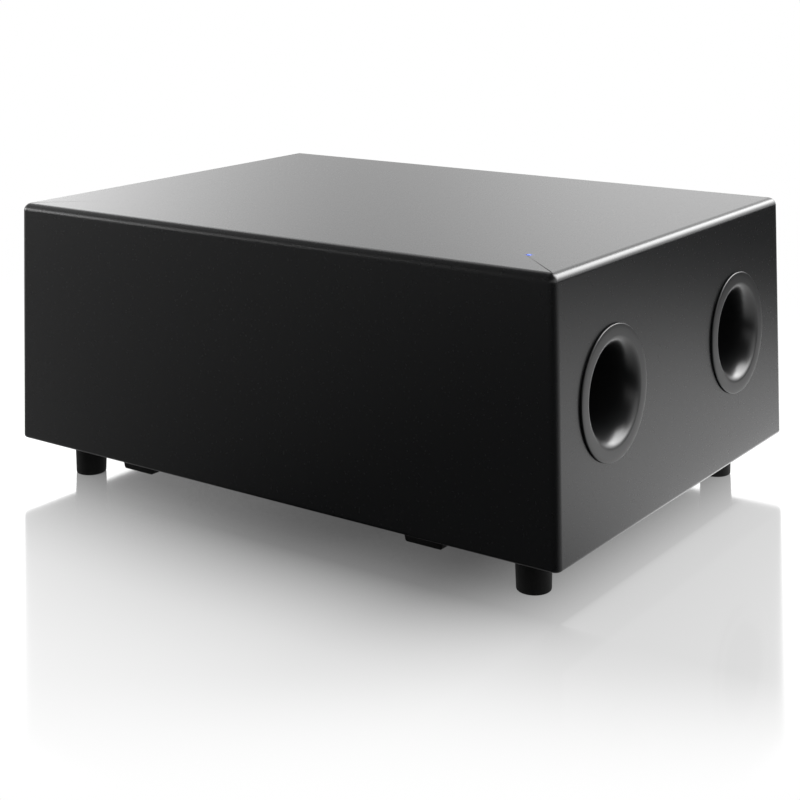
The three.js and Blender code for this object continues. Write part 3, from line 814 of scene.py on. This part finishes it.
def make_feet():
    recess, step, taper = 5.0, 18.0, 0.85
    for corner in CORNERS:
        node = f"foot_{corner}"
        high, top = box(node)[1].z, span(node).x / 2
        foot = lathe([
            (recess, 0, 0.5), (6.6, 0, 0.2), (6.8, 0.35, 0.2), (7.8, 0.35, 0.2), (8.0, 0, 0.2),
            (top - taper, 0, 2.6), (top, high, 0.4), (2.4, high), (2.4, step, 0.3), (recess, step, 0.4),
        ], 72)
        piece(node, foot, RUBBER, at=over(node))


def screw_mesh(head, height, shank, length, pitch=1.2):
    """A pan head screw with a cross recess, pointing up."""
    outline = filleted([
        (0, -height), (head * 0.62, -height, 0.6), (head, -height * 0.42, 0.5), (head, 0, 0.15), (shank, 0),
    ], closed=False, steps=4)
    z = 0.6
    while z < length - 2.4:
        outline += [(shank, z), (shank * 0.78, z + pitch * 0.45), (shank, z + pitch * 0.9)]
        z += pitch
    outline += [(shank * 0.7, length - 1.4), (0, length)]
    arms = []
    for turn in (0, math.pi / 2):
        wedge = bmesh.new()
        bmesh.ops.create_cube(wedge, size=1.0, matrix=Matrix.Diagonal((head * 1.1, head * 0.24, height, 1)))
        for vertex in wedge.verts:
            if vertex.co.z > 0:
                vertex.co.x *= 0.45
        arms.append(spun(wedge, turn, at=(0, 0, -height * 0.95)))
    return carved(turned(outline, 32, closed=False), arms)


def make_screws():
    kinds = [
        ("foot_screw_", CORNERS, (4.0, 2.4, 2.0, 22.0), SHEET),
        ("woofer_screw_", range(1, 9), (3.3, 2.2, 1.6, 12.5), OXIDE),
        ("amp_screw_", range(1, 5), (3.2, 2.0, 1.6, 13.0), OXIDE),
    ]
    for prefix, names, size, material in kinds:
        master = screw_mesh(*size)
        for i, name in enumerate(names):
            node = f"{prefix}{name}"
            seat = Vector((0, 0, box(node)[0].z + size[1]))
            piece(node, spun(master.copy(), 0.7 * i + 0.3), material, at=over(node) + seat)
        master.free()


# Woofer: profiles are radius and height, with height 0 at the baffle's lower face

SHELF, PLATE_LOW, PLATE_HIGH, BACK = 48.3, 62.0, 70.0, 92.0


def make_basket():
    seat, sixth, eighth = PLATE_LOW - 0.3, math.pi / 3, math.pi / 4
    bowl = lathe([
        (101, 2, 0.6), (101, 4.7, 0.6), (90.5, 4.7, 0.8), (86, 12, 3), (60, 44, 4), (58, seat, 1),
        (26, seat, 0.3), (26, 59.5, 0.3), (55.8, 59.5, 1.0), (55.8, SHELF + 2, 0.6), (47, SHELF + 2, 0.3),
        (47, SHELF, 0.3), (56.2, SHELF, 0.6), (57, 44.3, 2), (84, 11, 3), (88.5, 7, 1.5), (88.5, 2, 0.4),
    ], 120, steps=3)
    half = math.radians(19)
    corners = ((110, -half), (110, half), (40, half), (40, -half))
    window = [(radius * math.cos(a), radius * math.sin(a)) for radius, a in corners]
    tools = [spun(prism(window, 15, 41), sixth * k) for k in range(6)]
    for k in range(8):
        at = Matrix.Rotation(eighth * k, 3, "Z") @ Vector((95.8, 0, 0))
        tools.append(moved(rod(2.2, -1, 6, segments=20), at))
    ribs = []
    for k in range(6):
        rib = spun(slab(22, 3.0, 0, 1.6, 0.6, edge=0.5), math.radians(-51), "Y", (73.6, 0, 28.4))
        ribs.append(spun(rib, sixth * (k + 0.5)))
    piece("woofer_basket", merged(carved(bowl, tools), *ribs), POWDER, at=WOOFER, crease=30)


def make_gasket():
    points = [(86, 0.5), (86, -0.6, 0.4), (86.9, -1.2, 0.6), (90.9, -1.2, 0.6), (91.8, -0.6, 0.4),
              (91.8, 0.5)]
    piece("woofer_gasket", lathe(points, 144, steps=4), RUBBER, at=WOOFER)


def make_cone():
    rim, neck, front, rise, thickness = 62.0, 19.9, 2.0, 34.5, 1.2
    stations = [i / 28 for i in range(29)]

    def wall(above, side):
        points = []
        for t in stations:
            rib = 0.35 * side * max(0.0, math.sin(t * 9 * math.pi)) ** 6 if 0.08 < t < 0.62 else 0.0
            points.append((rim + (neck - rim) * t, front + above + rise * t * (1.15 - 0.15 * t) - rib))
        return points

    lip = [(65, front + thickness), (68.3, front + thickness, 0.4), (68.3, front, 0.4), (65, front)]
    outline = [*filleted(lip, closed=False, steps=2), *wall(0, 1), *wall(thickness, 0.5)[::-1]]
    piece("cone", turned(outline, 128), PAPER, CONE, at=WOOFER, crease=50)

    def dome(r, above):
        return r, 28 + above - 9 * (1 - (r / 30) ** 2)

    radii = [30 * i / 14 for i in range(15)]
    cap = [dome(r, 0) for r in radii] + [dome(r, 0.8) for r in radii[::-1]]
    piece("dust_cap", turned(cap, 96, closed=False), PAPER, CONE, at=WOOFER, crease=50)


def make_surround():
    inner, outer, lip, thick = 69.0, 84.5, 0.8, 0.9
    centre, roll = (inner + outer) / 2, (outer - inner) / 2
    outline = [(62.5, lip), (inner - 1.2, lip), *arc(centre, lip, roll + 0.4, roll + 0.4, 188, 352, 26),
               (outer + 1.2, lip), (90, lip), (90, lip + thick),
               *arc(centre, lip + thick, roll - 0.4, roll - 0.4, 360, 180, 26), (62.5, lip + thick)]
    flexing(piece("surround", turned(outline, 160), ROLL_RUBBER, None, at=WOOFER), 85.0, 68.4)


def make_spider():
    level, thick, inner, outer, wave = SHELF - 1.1, 0.8, 22.0, 46.0, 8.0
    radii = [19.9] + [inner + (outer - inner) * i / 48 for i in range(49)] + [50.0, 55.5]

    def web_height(r):
        return level + (1.4 * math.sin((r - inner) / wave * 2 * math.pi) if inner < r < outer else 0.0)

    outline = [(r, web_height(r)) for r in radii] + [(r, web_height(r) + thick) for r in radii[::-1]]
    web = piece("spider", turned(outline, 128), CLOTH, None, at=WOOFER, crease=60)
    flexing(web, 46.5, 20.5)


def make_voice_coil():
    former_in, former_out, wire_out, low, high = 19.0, 19.5, 20.7, 57.0, 75.0
    wire_in, turns = former_out + 0.95, 30
    winding = []
    for k in range(turns):
        z = low + (high - low) * k / turns
        winding += [(wire_in, z), (wire_out, z + 0.3)]
    outline = [(former_in, 34), (former_out, 34), (former_out, low), *winding, (wire_in, high),
               (former_out, high), (former_out, 78), (former_in, 78)]
    piece("voice_coil", turned(outline, 80), COPPER, CONE, at=WOOFER, crease=70)


def make_leads():
    for node in ("lead_wire_a", "lead_wire_b"):
        y = middle(node).y - WOOFER.y
        path = [(62, y, 39), (54, y, 36.5), (44, y, 35.5), (34.5, y, 31)]
        lead = tube(path, 0.8, sides=18, steps=24, strands=3, twist=2.2, depth=0.16)
        flexing(piece(node, lead, COPPER, None, at=WOOFER, crease=70), 61.5, 35.5)


def make_motor():
    def ring(inner, outer, low, high, edge):
        corners = ((inner, low), (outer, low), (outer, high), (inner, high))
        return lathe([(*at, edge) for at in corners], steps=3)

    piece("top_plate", ring(21.5, 55, PLATE_LOW, PLATE_HIGH, 0.6), TURNED, at=WOOFER)
    piece("magnet_ring", ring(28, 60, PLATE_HIGH + 0.3, BACK - 0.3, 1.2), FERRITE, at=WOOFER)
    yoke = lathe([
        (5, PLATE_LOW, 0.8), (18.2, PLATE_LOW, 0.8), (18.2, BACK, 0.5), (54, BACK, 0.4), (54, 99, 0.6),
        (53, 100, 0.6), (34, 100, 0.4), (33, 99.2, 0.4), (22, 99.2, 0.4), (21, 100, 0.4), (8, 100, 0.6),
        (5, 97, 0.6),
    ], steps=3)
    piece("pole_yoke", yoke, TURNED, at=WOOFER)


def make_terminals():
    strip = [block(1.6, 14, 38, 50, 0.3, 63.6, 0)]
    for y in (-4, 4):
        strip.append(block(0.5, 3.2, 40, 47, 0.2, 62.6, y, part=1))
        strip.append(along_x(rod(0.9, -0.9, 0.9, 0.3, 16, part=1), (63.6, y, 44)))
    piece("terminal_strip", merged(*strip), [BOARD, NICKEL], at=WOOFER)


# Amplifier: the meshes on its panel are made about the panel's axis, the others about their own


def local(node):
    """The middle of a node from the amplifier's axis, in millimetres."""
    at = middle(node)
    return at.x - AMP.x, at.y - AMP.y


def make_panel():
    low, high = box("amp_panel")
    size, under, top = high - low, low.z - OVER, high.z + OVER
    tools = []

    def hole(node, radius, segments=SMALL_ROUND):
        tools.append(moved(rod(radius, under, top, segments=segments), (*local(node), 0)))

    for node, radius in zip((*KNOBS, "pairing_button", *JACKS), (3.5, 3.5, 3.4, 4.6, 4.6)):
        hole(node, radius)
    for k in range(1, 5):
        hole(f"amp_screw_{k}", 2.1, 24)
    x, y = local("phase_switch")
    tools.append(slab(4.2, 8, under, top, 0.8, x, y + 1.5))
    tools.append(slab(13, 20.4, under, top, 1.0, *local("power_rocker")))
    # Shallow grooves round the knobs, and a frame line round the connectors
    for node in KNOBS:
        groove = [(10.6, under), (12.4, under), (12.4, low.z + 0.35, 0.3), (10.6, low.z + 0.35, 0.3)]
        tools.append(moved(lathe(groove, 64), (*local(node), 0)))
    tools.append(carved(slab(50, 22, under, low.z + 0.3, 3, -14, -30),
                        [slab(48.8, 20.8, under - OVER, low.z + OVER, 2.4, -14, -30)]))
    plate = carved(slab(size.x, size.y, low.z, high.z, 12, round_steps=10, edge=0.9, steps=4), tools)
    piece("amp_panel", plate, POWDER, at=AMP, crease=30, weighted=True)


def make_panel_marks():
    """Printed marks: a scale round each knob, a bar beside each switch and a dot by each jack."""
    top, depth, line = BAFFLE_LOW.z + 0.02, 0.07, 0.55

    def mark(width, length, x, y, turn=0.0):
        bar = slab(width, length, top - depth, top, min(width, length) * 0.3, round_steps=2)
        return spun(bar, turn, at=(x, y, 0))

    marks = []
    for node in KNOBS:
        x, y = local(node)
        for k in range(11):
            angle = math.radians(90 - 150 + 30 * k)
            radius, length = (15.2, 3.0) if k % 5 == 0 else (14.8, 1.8)
            at = x + radius * math.cos(angle), y + radius * math.sin(angle)
            marks.append(mark(length, line, *at, angle))
    x, y = local("phase_switch")
    marks += [mark(2.4, line, x - 5, y - 1), mark(2.4, line, x - 5, y + 4), mark(line, 2.4, x - 5, y + 4)]
    x, y = local("pairing_button")
    marks.append(mark(0.6, 3.0, x, y + 6.4))
    for node in JACKS:
        x, y = local(node)
        marks.append(mark(3.4, 0.7, x, y + 8))
    piece("amp_panel_marks", merged(*marks), INK, at=AMP, stands_for=[])


def make_can():
    low, high = box("amp_can")
    size = high - low
    wall, lid, above = 1.6, high.z - 4, high.z + OVER
    shell = block(size.x, size.y, low.z, high.z, 1.4, steps=4)
    tools = [block(size.x - 2 * wall, size.y - 2 * wall, low.z - OVER, high.z - wall, 0.8),
             moved(rod(3, lid, above, segments=32), (-40, 0, 0))]
    for k in range(9):
        tools.append(slab(3, 26, lid, above, 1.4, -12 + 6 * k, 34))
    piece("amp_can", carved(shell, tools), SHEET, at=AMP, crease=30, weighted=True)


def capacitor(radius, low, high, x, y, part):
    """A sleeved electrolytic can with a rolled neck and a scored end."""
    body = lathe([
        (0, low), (radius, low, 0.5), (radius, low + 1.6), (radius - 0.4, low + 2.2, 0.3),
        (radius, low + 2.8), (radius, high, 0.8), (radius - 1.2, high - 0.3, 0.3), (0, high - 0.3),
    ], 40, closed=False, steps=3, part=part)
    score = [block(radius * 1.3, 0.4, high - 0.5, high, 0.1), block(0.4, radius * 1.3, high - 0.5, high, 0.1)]
    return moved(carved(body, score), (x, y, 0))


def make_board():
    low, high = box("amp_board")
    top = low.z + 1.6
    board = carved(slab(92, 130, low.z, top, 1.5), [block(8, 12, low.z - OVER, top + OVER, 0.3, -42, 0)])
    fitted = [board, capacitor(11, top, high.z, 22, -44, 1)]
    small = ((40, -30, 4, 11), (40, -44, 4, 11), (-40, -56, 5, 14), (4, -60, 4, 12), (40, 44, 3.2, 8))
    for x, y, radius, tall in small:
        fitted.append(capacitor(radius, top, top + tall, x, y, 1))
    place = random.Random(7)
    for row in range(5):
        for column in range(6):
            x, y = -30 + 5.2 * column, 48 - 6 * row
            if place.random() < 0.3:
                fitted.append(block(2.2, 1.3, top, top + 0.8, 0.15, x, y, part=3))
            else:
                fitted.append(block(1.4, 2.4, top, top + 0.6, 0.12, x, y, part=2))
    fitted.append(block(12, 12, top, top + 1.6, 0.25, -12, 2, part=3))
    for side in (-1, 1):
        for k in range(8):
            fitted.append(block(1.6, 0.5, top, top + 0.5, 0.1, -12 + side * 6.9, 1.1 * k - 1.85, part=2))
    angles = [2 * math.pi * k / 12 for k in range(12)]
    coil = turned([(7 + 2.4 * math.cos(a), 3.4 + 2.6 * math.sin(a)) for a in angles], 48, part=4,
                  ripple=lambda a, r, _: r + 0.25 * math.cos(24 * a) * (1 if r > 7 else -1))
    fitted.append(moved(coil, (-34, -16, top)))
    piece("amp_board", merged(*fitted), [BOARD, SLEEVE, NICKEL, PLASTIC, COPPER], at=AMP)


def make_transformer():
    low, high = box("power_transformer")
    size, layers, post = high - low, 17, 13
    core = []
    for k in range(layers):
        under, above = (low.z + size.z * i / layers for i in (k, k + 1))
        layer = block(size.x - 0.02, size.y - 0.1 * (k % 2), under + 0.02, above - 0.05, 0.12, steps=1)
        windows = [block(50, 8, low.z + 5.1, high.z - 5, 0.4, 0, side * post) for side in (-1, 1)]
        core.append(carved(layer, windows))
    winding = [block(size.x - 6, 7.4, low.z + 5.4, high.z - 5.4, 2.2, 0, side * post, part=1, steps=4)
               for side in (-1, 1)]
    piece("power_transformer", merged(*core, *winding), [FERRITE, AMBER],
          at=over("power_transformer"), crease=30)


def make_heat_sink():
    low, high = box("heat_sink")
    base, half, reach = low.z + 5, 15, 28
    edges = [11.5, 6.5, 2.5, -2.5, -6.5, -11.5]
    outline = [(-half, low.z, 0.5), (half, low.z, 0.5), (half, high.z, 0.9)]
    for right, left in zip(edges[::2], edges[1::2]):
        outline += [(right, high.z, 0.9), (right, base, 1.2), (left, base, 1.2), (left, high.z, 0.9)]
    outline += [(-half, high.z, 0.9)]
    fins = spun(prism(filleted(outline, steps=3), -reach, reach, 0.25, 1), math.pi / 2, "X")
    piece("heat_sink", fins, ALUMINIUM, at=over("heat_sink"))


def make_knobs():
    for name in ("volume", "crossover"):
        node = f"{name}_knob"
        low, high = heights(node)
        skirt = BAFFLE_LOW.z - 0.3

        def grip(angle, radius, height):
            ribbed = 7.9 < radius < 8.9 and height > low + 1.2
            return radius - (0.22 + 0.22 * math.cos(30 * angle)) if ribbed else radius

        body = lathe([
            (0, low + 0.35), (5.6, low + 0.35, 1.0), (6.8, low, 0.5), (7.8, low, 0.7), (8.3, low + 1.4),
            (8.4, low + 2.4), (8.5, low + 4.2), (8.6, low + 6.0), (8.7, skirt - 2.2, 0.5),
            (10, skirt - 1.6, 0.5), (10, skirt, 0.3), (3, skirt), (3, high, 0.4), (0, high),
        ], 240, closed=False, steps=3, ripple=grip)
        pointer = block(1.3, 6.2, low - 0.02, low + 0.6, 0.2, 0, 4.6, part=1)
        piece(node, merged(body, pointer), [PLASTIC, INK], f"{name}_control",
              at=over(node), crease=40)
        make_pot(f"{name}_pot")


def make_pot(node):
    low, high = heights(node)
    can = carved(block(16, 16, low, high, 0.8, steps=3), [rod(3.3, low - OVER, high + OVER, segments=32)])
    foot, top = low + 0.02, low + 1.2
    collar = lathe([(3.3, foot), (5, foot, 0.3), (5, top, 0.3), (3.3, top)], 32, part=1)
    tabs = [block(1.6, 0.6, high - 4, high - 0.4, 0.1, k * 4, -7.9, part=1) for k in (-1, 0, 1)]
    piece(node, merged(can, collar, *tabs), [SHEET, NICKEL], at=over(node))


def make_switches():
    low, high = heights("phase_switch")
    foot = high - 1.2
    slider = [block(8, 6, foot, high, 0.25), block(3, 3.5, low + 0.5, foot + 0.3, 0.25)]
    slider += [block(2.9, 0.5, low, low + 0.9, 0.12, 0, k * 0.95) for k in (-1.5, -0.5, 0.5, 1.5)]
    piece("phase_switch", merged(*slider), PLASTIC, "phase_slider", at=over("phase_switch"))

    low, high = heights("pairing_button")
    button = lathe([
        (0, low + 0.25), (1.6, low + 0.12, 1.0), (2.3, low, 0.3), (3, low, 0.45), (3, high - 1, 0.1),
        (4.2, high - 1, 0.2), (4.2, high, 0.2), (0, high),
    ], 48, closed=False, steps=3)
    piece("pairing_button", button, PLASTIC, "pairing_key", at=over("pairing_button"))


def make_rocker():
    """A rocker dished over its axis, which lies along x, with its two marks."""
    half, width, tip, tilt, slope = 9.0, 12.0, -3.5, math.radians(-8), math.radians(7)
    mark_y, mark_z, thin = 5.4, -3.02, 0.15
    pivot = next(j for j in frame["joints"] if j["name"] == "power_rock")["pos_m"]
    stations = [1 - i / 12 for i in range(25)]
    face = [(half * t, tip + 1.2 * max(0.0, 1 - abs(t)) ** 1.2) for t in stations]
    rocker = prism([(-half + 1, 3), (half - 1, 3), *face], -width / 2, width / 2)
    moved(rocker, matrix=Matrix(((0, 0, 1, 0), (1, 0, 0, 0), (0, 1, 0, 0), (0, 0, 0, 1))))
    ring = lathe([(1.1, -thin), (1.6, -thin), (1.6, thin), (1.1, thin)], 24, part=1)
    marks = [spun(ring, -slope, "X", (0, mark_y, mark_z)),
             spun(block(0.6, 3.2, -thin, thin, 0.08, part=1), slope, "X", (0, -mark_y, mark_z))]
    piece("power_rocker", spun(merged(rocker, *marks), tilt, "X"), [PLASTIC, INK], "power_key",
          at=[c / MM for c in pivot], crease=30)


def make_switch_case():
    low, high = box("power_switch_case")
    case = carved(block(high.x - low.x, high.y - low.y, low.z, high.z, 0.4),
                  [block(13, 20.4, low.z - OVER, 36, 0.4)])
    tabs = [block(0.8, 4.8, high.z - 0.4, high.z, 0.15, 0, k * 6, part=1) for k in (-1, 1)]
    piece("power_switch_case", merged(case, *tabs), [PLASTIC, NICKEL],
          at=over("power_switch_case"))


def make_jacks():
    face, panel = BAFFLE_LOW.z + 0.1, box("amp_panel")[1].z
    inside, outside, back, end = 2.6, 4.1, 3.8, panel + 2
    for node, colour in zip(JACKS, (WHITE, RED)):
        low, high = heights(node)
        barrel = lathe([
            (inside, low, 0.25), (outside, low, 0.5), (outside, low + 6.8, 0.2), (back, low + 7.0),
            (back, end), (inside, end),
        ], 48, steps=3)
        insulator = lathe([(1.8, low + 0.5, 0.2), (inside, low + 0.5), (inside, end), (1.8, end)], 40, part=1)
        washer = lathe([(4.12, face), (4.5, face, 0.1), (4.5, panel, 0.1), (4.12, panel)], 40, part=1)
        body = block(12, 12, panel + 0.5, high, 0.5, part=2)
        piece(node, merged(barrel, insulator, washer, body), [NICKEL, colour, PLASTIC],
              at=over(node))


def make_inlet():
    low, high = box("mains_inlet")
    size, flange = high - low, 2.0
    socket = filleted([(-19, -9, 1), (19, -9, 1), (19, 4, 1), (14, 9, 1), (-14, 9, 1), (-19, 4, 1)])
    shell = carved(
        slab(size.x, size.y, low.z, low.z + flange, 3, edge=0.5, steps=3),
        [prism(socket, low.z - OVER, low.z + 18)],
        joined=[block(46.0, 26.0, low.z + 1, high.z, 0.8)],
    )
    pins = [block(4, 2, low.z + 3, low.z + 19, 0.4, x, y, part=1) for x, y in ((-10, -2), (0, 2), (10, -2))]
    piece("mains_inlet", merged(shell, *pins), [PLASTIC, NICKEL], at=over("mains_inlet"),
          crease=30)


def make_cable():
    start_x, end_x = AMP.x - 40, WOOFER.x + 67.4
    path = [(start_x, 0, 62), (start_x, 0, 72), (start_x, 0, 80), (48.95, 0, 98), (10.95, 0, 94),
            (end_x, 0, 82), (end_x, 0, 70)]
    cores = [tube(path, 1.05, steps=10, part=i, offset=(side, 0)) for i, side in enumerate((0.95, -0.95))]
    piece("speaker_cable", merged(*cores), [RUBBER, RED])


# Stage: white floor with a fading mirror image, white room, camera

CAMERA_AT = Vector((0.68655, -0.9473, 0.3855))
CAMERA_YAW, CAMERA_PITCH, CAMERA_ROLL = (math.radians(a) for a in (35.828, 1.68, -0.532))
LENS, SENSOR, SHIFT = 73.52, 36.0, -0.650
MIRROR_DIM = 0.93  # how much darker the surroundings are in the floor's mirror image of the object


def light_path(tree, name):
    return Value(tree, add(tree, "LightPath").outputs[name])


def dimmed(tree, level):
    """The level, made darker for light that reached the camera by two reflections, however it was sampled."""
    bounces = light_path(tree, "Glossy Depth") - light_path(tree, "Is Glossy Ray") + 1.0
    return level * (bounces.ramp(1.4, 1.6) * -MIRROR_DIM + 1.0)


def seen_from_below(tree):
    """1 when the camera looks up through the floor, which is clear from below."""
    return light_path(tree, "Transparent Depth").below(1.0)


def make_floor():
    bpy.ops.mesh.primitive_plane_add(size=80.0, location=(0, 0, 0))
    floor = bpy.context.object
    floor.name = "floor"
    material = bpy.data.materials.new("studio_floor")
    material.use_nodes = True
    tree = material.node_tree
    tree.nodes.clear()
    geometry = add(tree, "NewGeometry")
    x, y, _ = parts(tree, geometry.outputs["Position"])
    centre_x = (SHELL_LOW.x + SHELL_HIGH.x) / 2 * MM
    half = (SHELL_HIGH - SHELL_LOW) / 2 * MM
    x = x - centre_x
    beside = (x.size() - half.x).above(0.0)
    before = (y.size() - half.y).above(0.0)
    distance = (beside ** 2.0 + before ** 2.0) ** 0.5
    sideways = beside / (beside + before + 0.001)

    # What a camera sees: white with a contact shadow, under a mirror image that fades with distance
    occlusion = Value(tree, add(tree, "AmbientOcclusion", {"Distance": 0.11}, samples=12).outputs["AO"])
    contact = (-x + half.x).ramp(0.0, 0.10) * 0.5 + 0.35
    white = add(tree, "Emission", {"Strength": -((-(occlusion ** 0.5) + 1.0) * contact) + 1.0})
    mirror = add(tree, "BsdfGlossy", {"Roughness": 0.10, "Color": (1, 1, 1, 1)})
    near, far, beside_share = 0.085, 0.30, 0.30
    long_face = (distance * (-1 / near)).exp() * 0.66 + 0.08
    forward = Vector((-math.sin(CAMERA_YAW), math.cos(CAMERA_YAW)))
    depth = (x + centre_x - CAMERA_AT.x) * forward.x + (y - CAMERA_AT.y) * forward.y
    fade = depth.ramp(0.728, 0.865) * (-((distance / far) ** 3.0)).exp()
    across = (x.ramp(0.28, 0.12) * 0.6 + 0.4) * (x.ramp(-0.25, 0.04) * 0.4 + 0.6)
    share = long_face.toward(beside_share, sideways) * fade * across.toward(1.0, sideways)
    seen = add(tree, "MixShader", {0: share, 1: white.outputs[0], 2: mirror.outputs[0]})

    # What the object sees: a floor lit from the right and back, dark in front
    right = (-(((y - 0.1).above(0.0) / 0.48) ** 2.6) - (x - 0.26) / 0.75).exp() * 1.28
    right = right * (y.ramp(-0.25, 0.10) * 0.85 + 0.15)
    right = right + x.bell(0.228, 0.015) * y.ramp(-0.15, 0.12) * 2.0
    left_turn = ((-x).above(0.0) / (-y).above(0.05)).below(3.0)
    front = (left_turn ** 1.3) * 0.215 + (-y).ramp(0.8, 1.6) * x.size().ramp(0.9, 0.4) * 0.3
    level = x.ramp(0.12, 0.23) * (right - 0.5) + 0.5
    level = level.toward(front, (-y - x.size() * 0.35).ramp(0.02, 0.12))
    # Painted shade: diffuse light from the floor is darker near the object
    level = level.toward(distance.ramp(0.0, 0.2) * 0.3 + 0.15, light_path(tree, "Is Diffuse Ray"))
    level = level.toward(1.5, seen_from_below(tree))
    room = add(tree, "Emission", {"Strength": dimmed(tree, level)})
    to_camera = light_path(tree, "Is Camera Ray")
    either = add(tree, "MixShader", {0: to_camera, 1: room.outputs[0], 2: seen.outputs[0]})

    # From below, the floor isn't there
    clear = add(tree, "BsdfTransparent")
    sides = {0: geometry.outputs["Backfacing"], 1: either.outputs[0], 2: clear.outputs[0]}
    add(tree, "OutputMaterial", {"Surface": add(tree, "MixShader", sides).outputs[0]})
    material.cycles.emission_sampling = "NONE"
    floor.data.materials.append(material)


def make_room():
    """A white room to the camera, with soft boxes and darker walls where the object's faces reflect them."""
    world = bpy.data.worlds.new("studio")
    bpy.context.scene.world = world
    world.use_nodes = True
    tree = world.node_tree
    x, y, z = parts(tree, add(tree, "TexCoord").outputs["Generated"])
    azimuth = x.op("ARCTAN2", y) * (180 / math.pi)
    elevation = z.op("ARCSINE") * (180 / math.pi)
    wall = azimuth.size().ramp(135.0, 95.0) * 1.59 + 0.03
    wall = wall + azimuth.bell(-54.0, 7.0) * 1.5 - azimuth.bell(-37.0, 7.0) * 0.66
    wall = wall * (elevation.ramp(60.0, 20.0) * 0.97 + 0.03)
    key = azimuth.ramp(-2.0, 8.0) * azimuth.ramp(74.0, 56.0)
    key = key * elevation.ramp(8.0, 28.0) * elevation.ramp(72.0, 58.0) * 9.5
    strip = azimuth.bell(-119.0, 8.0) * elevation.bell(10.0, 9.0) * 18.0
    far_side = azimuth.bell(140.0, 24.0) * elevation.bell(16.0, 14.0) * 0.9
    ahead = azimuth.size().ramp(158.0, 174.0) * elevation.ramp(30.0, 12.0) * 0.3
    level = dimmed(tree, (wall + key + strip + far_side + ahead).above(0.02))
    level = level.toward(0.9, light_path(tree, "Is Diffuse Ray"))
    level = level.toward(level.above(0.8), seen_from_below(tree))
    level = level.toward(1.0, light_path(tree, "Is Camera Ray"))
    background = tree.nodes["Background"]
    plug(tree, (1, 1, 1, 1), background.inputs["Color"])
    plug(tree, level, background.inputs["Strength"])


def make_camera():
    """The reference view. Its shift lens is only shifted while the camera stands there, so that another
    view of the same camera is centred."""
    cos_pitch, sin_pitch = math.cos(CAMERA_PITCH), math.sin(CAMERA_PITCH)
    level = Vector((math.cos(CAMERA_YAW), math.sin(CAMERA_YAW), 0))
    forward = Vector((-level.y * cos_pitch, level.x * cos_pitch, sin_pitch))
    up = level.cross(forward)
    right_axis = level * math.cos(CAMERA_ROLL) + up * math.sin(CAMERA_ROLL)
    up_axis = up * math.cos(CAMERA_ROLL) - level * math.sin(CAMERA_ROLL)
    data = bpy.data.cameras.new("camera")
    data.lens, data.sensor_width = LENS, SENSOR
    camera = bpy.data.objects.new("camera", data)
    bpy.context.scene.collection.objects.link(camera)
    rotation = Matrix((right_axis, up_axis, -forward)).transposed()
    camera.matrix_world = Matrix.Translation(CAMERA_AT) @ rotation.to_4x4()
    bpy.context.scene.camera = camera
    driver = data.driver_add("shift_y").driver
    driver.type = "SCRIPTED"
    for axis in "xyz":
        variable = driver.variables.new()
        variable.name, variable.type = axis, "TRANSFORMS"
        variable.targets[0].id = camera
        variable.targets[0].transform_type = "LOC_" + axis.upper()
    near = " and ".join(f"abs({axis} - {value:.5f}) < 0.01" for axis, value in zip("xyz", CAMERA_AT))
    driver.expression = f"{SHIFT} if {near} else 0.0"


for make in (
    make_cabinet, make_baffle, make_brace, make_wadding, make_ports, make_status_light, make_pads, make_feet,
    make_screws, make_basket, make_gasket, make_cone, make_surround, make_spider, make_voice_coil, make_leads,
    make_motor, make_terminals, make_panel, make_panel_marks, make_can, make_board, make_transformer,
    make_heat_sink, make_knobs, make_switches, make_rocker, make_switch_case, make_jacks, make_inlet,
    make_cable, make_floor, make_room, make_camera,
):
    make()

bpy.context.scene.view_settings.view_transform = "Standard"
bpy.context.scene.view_settings.look = "None"
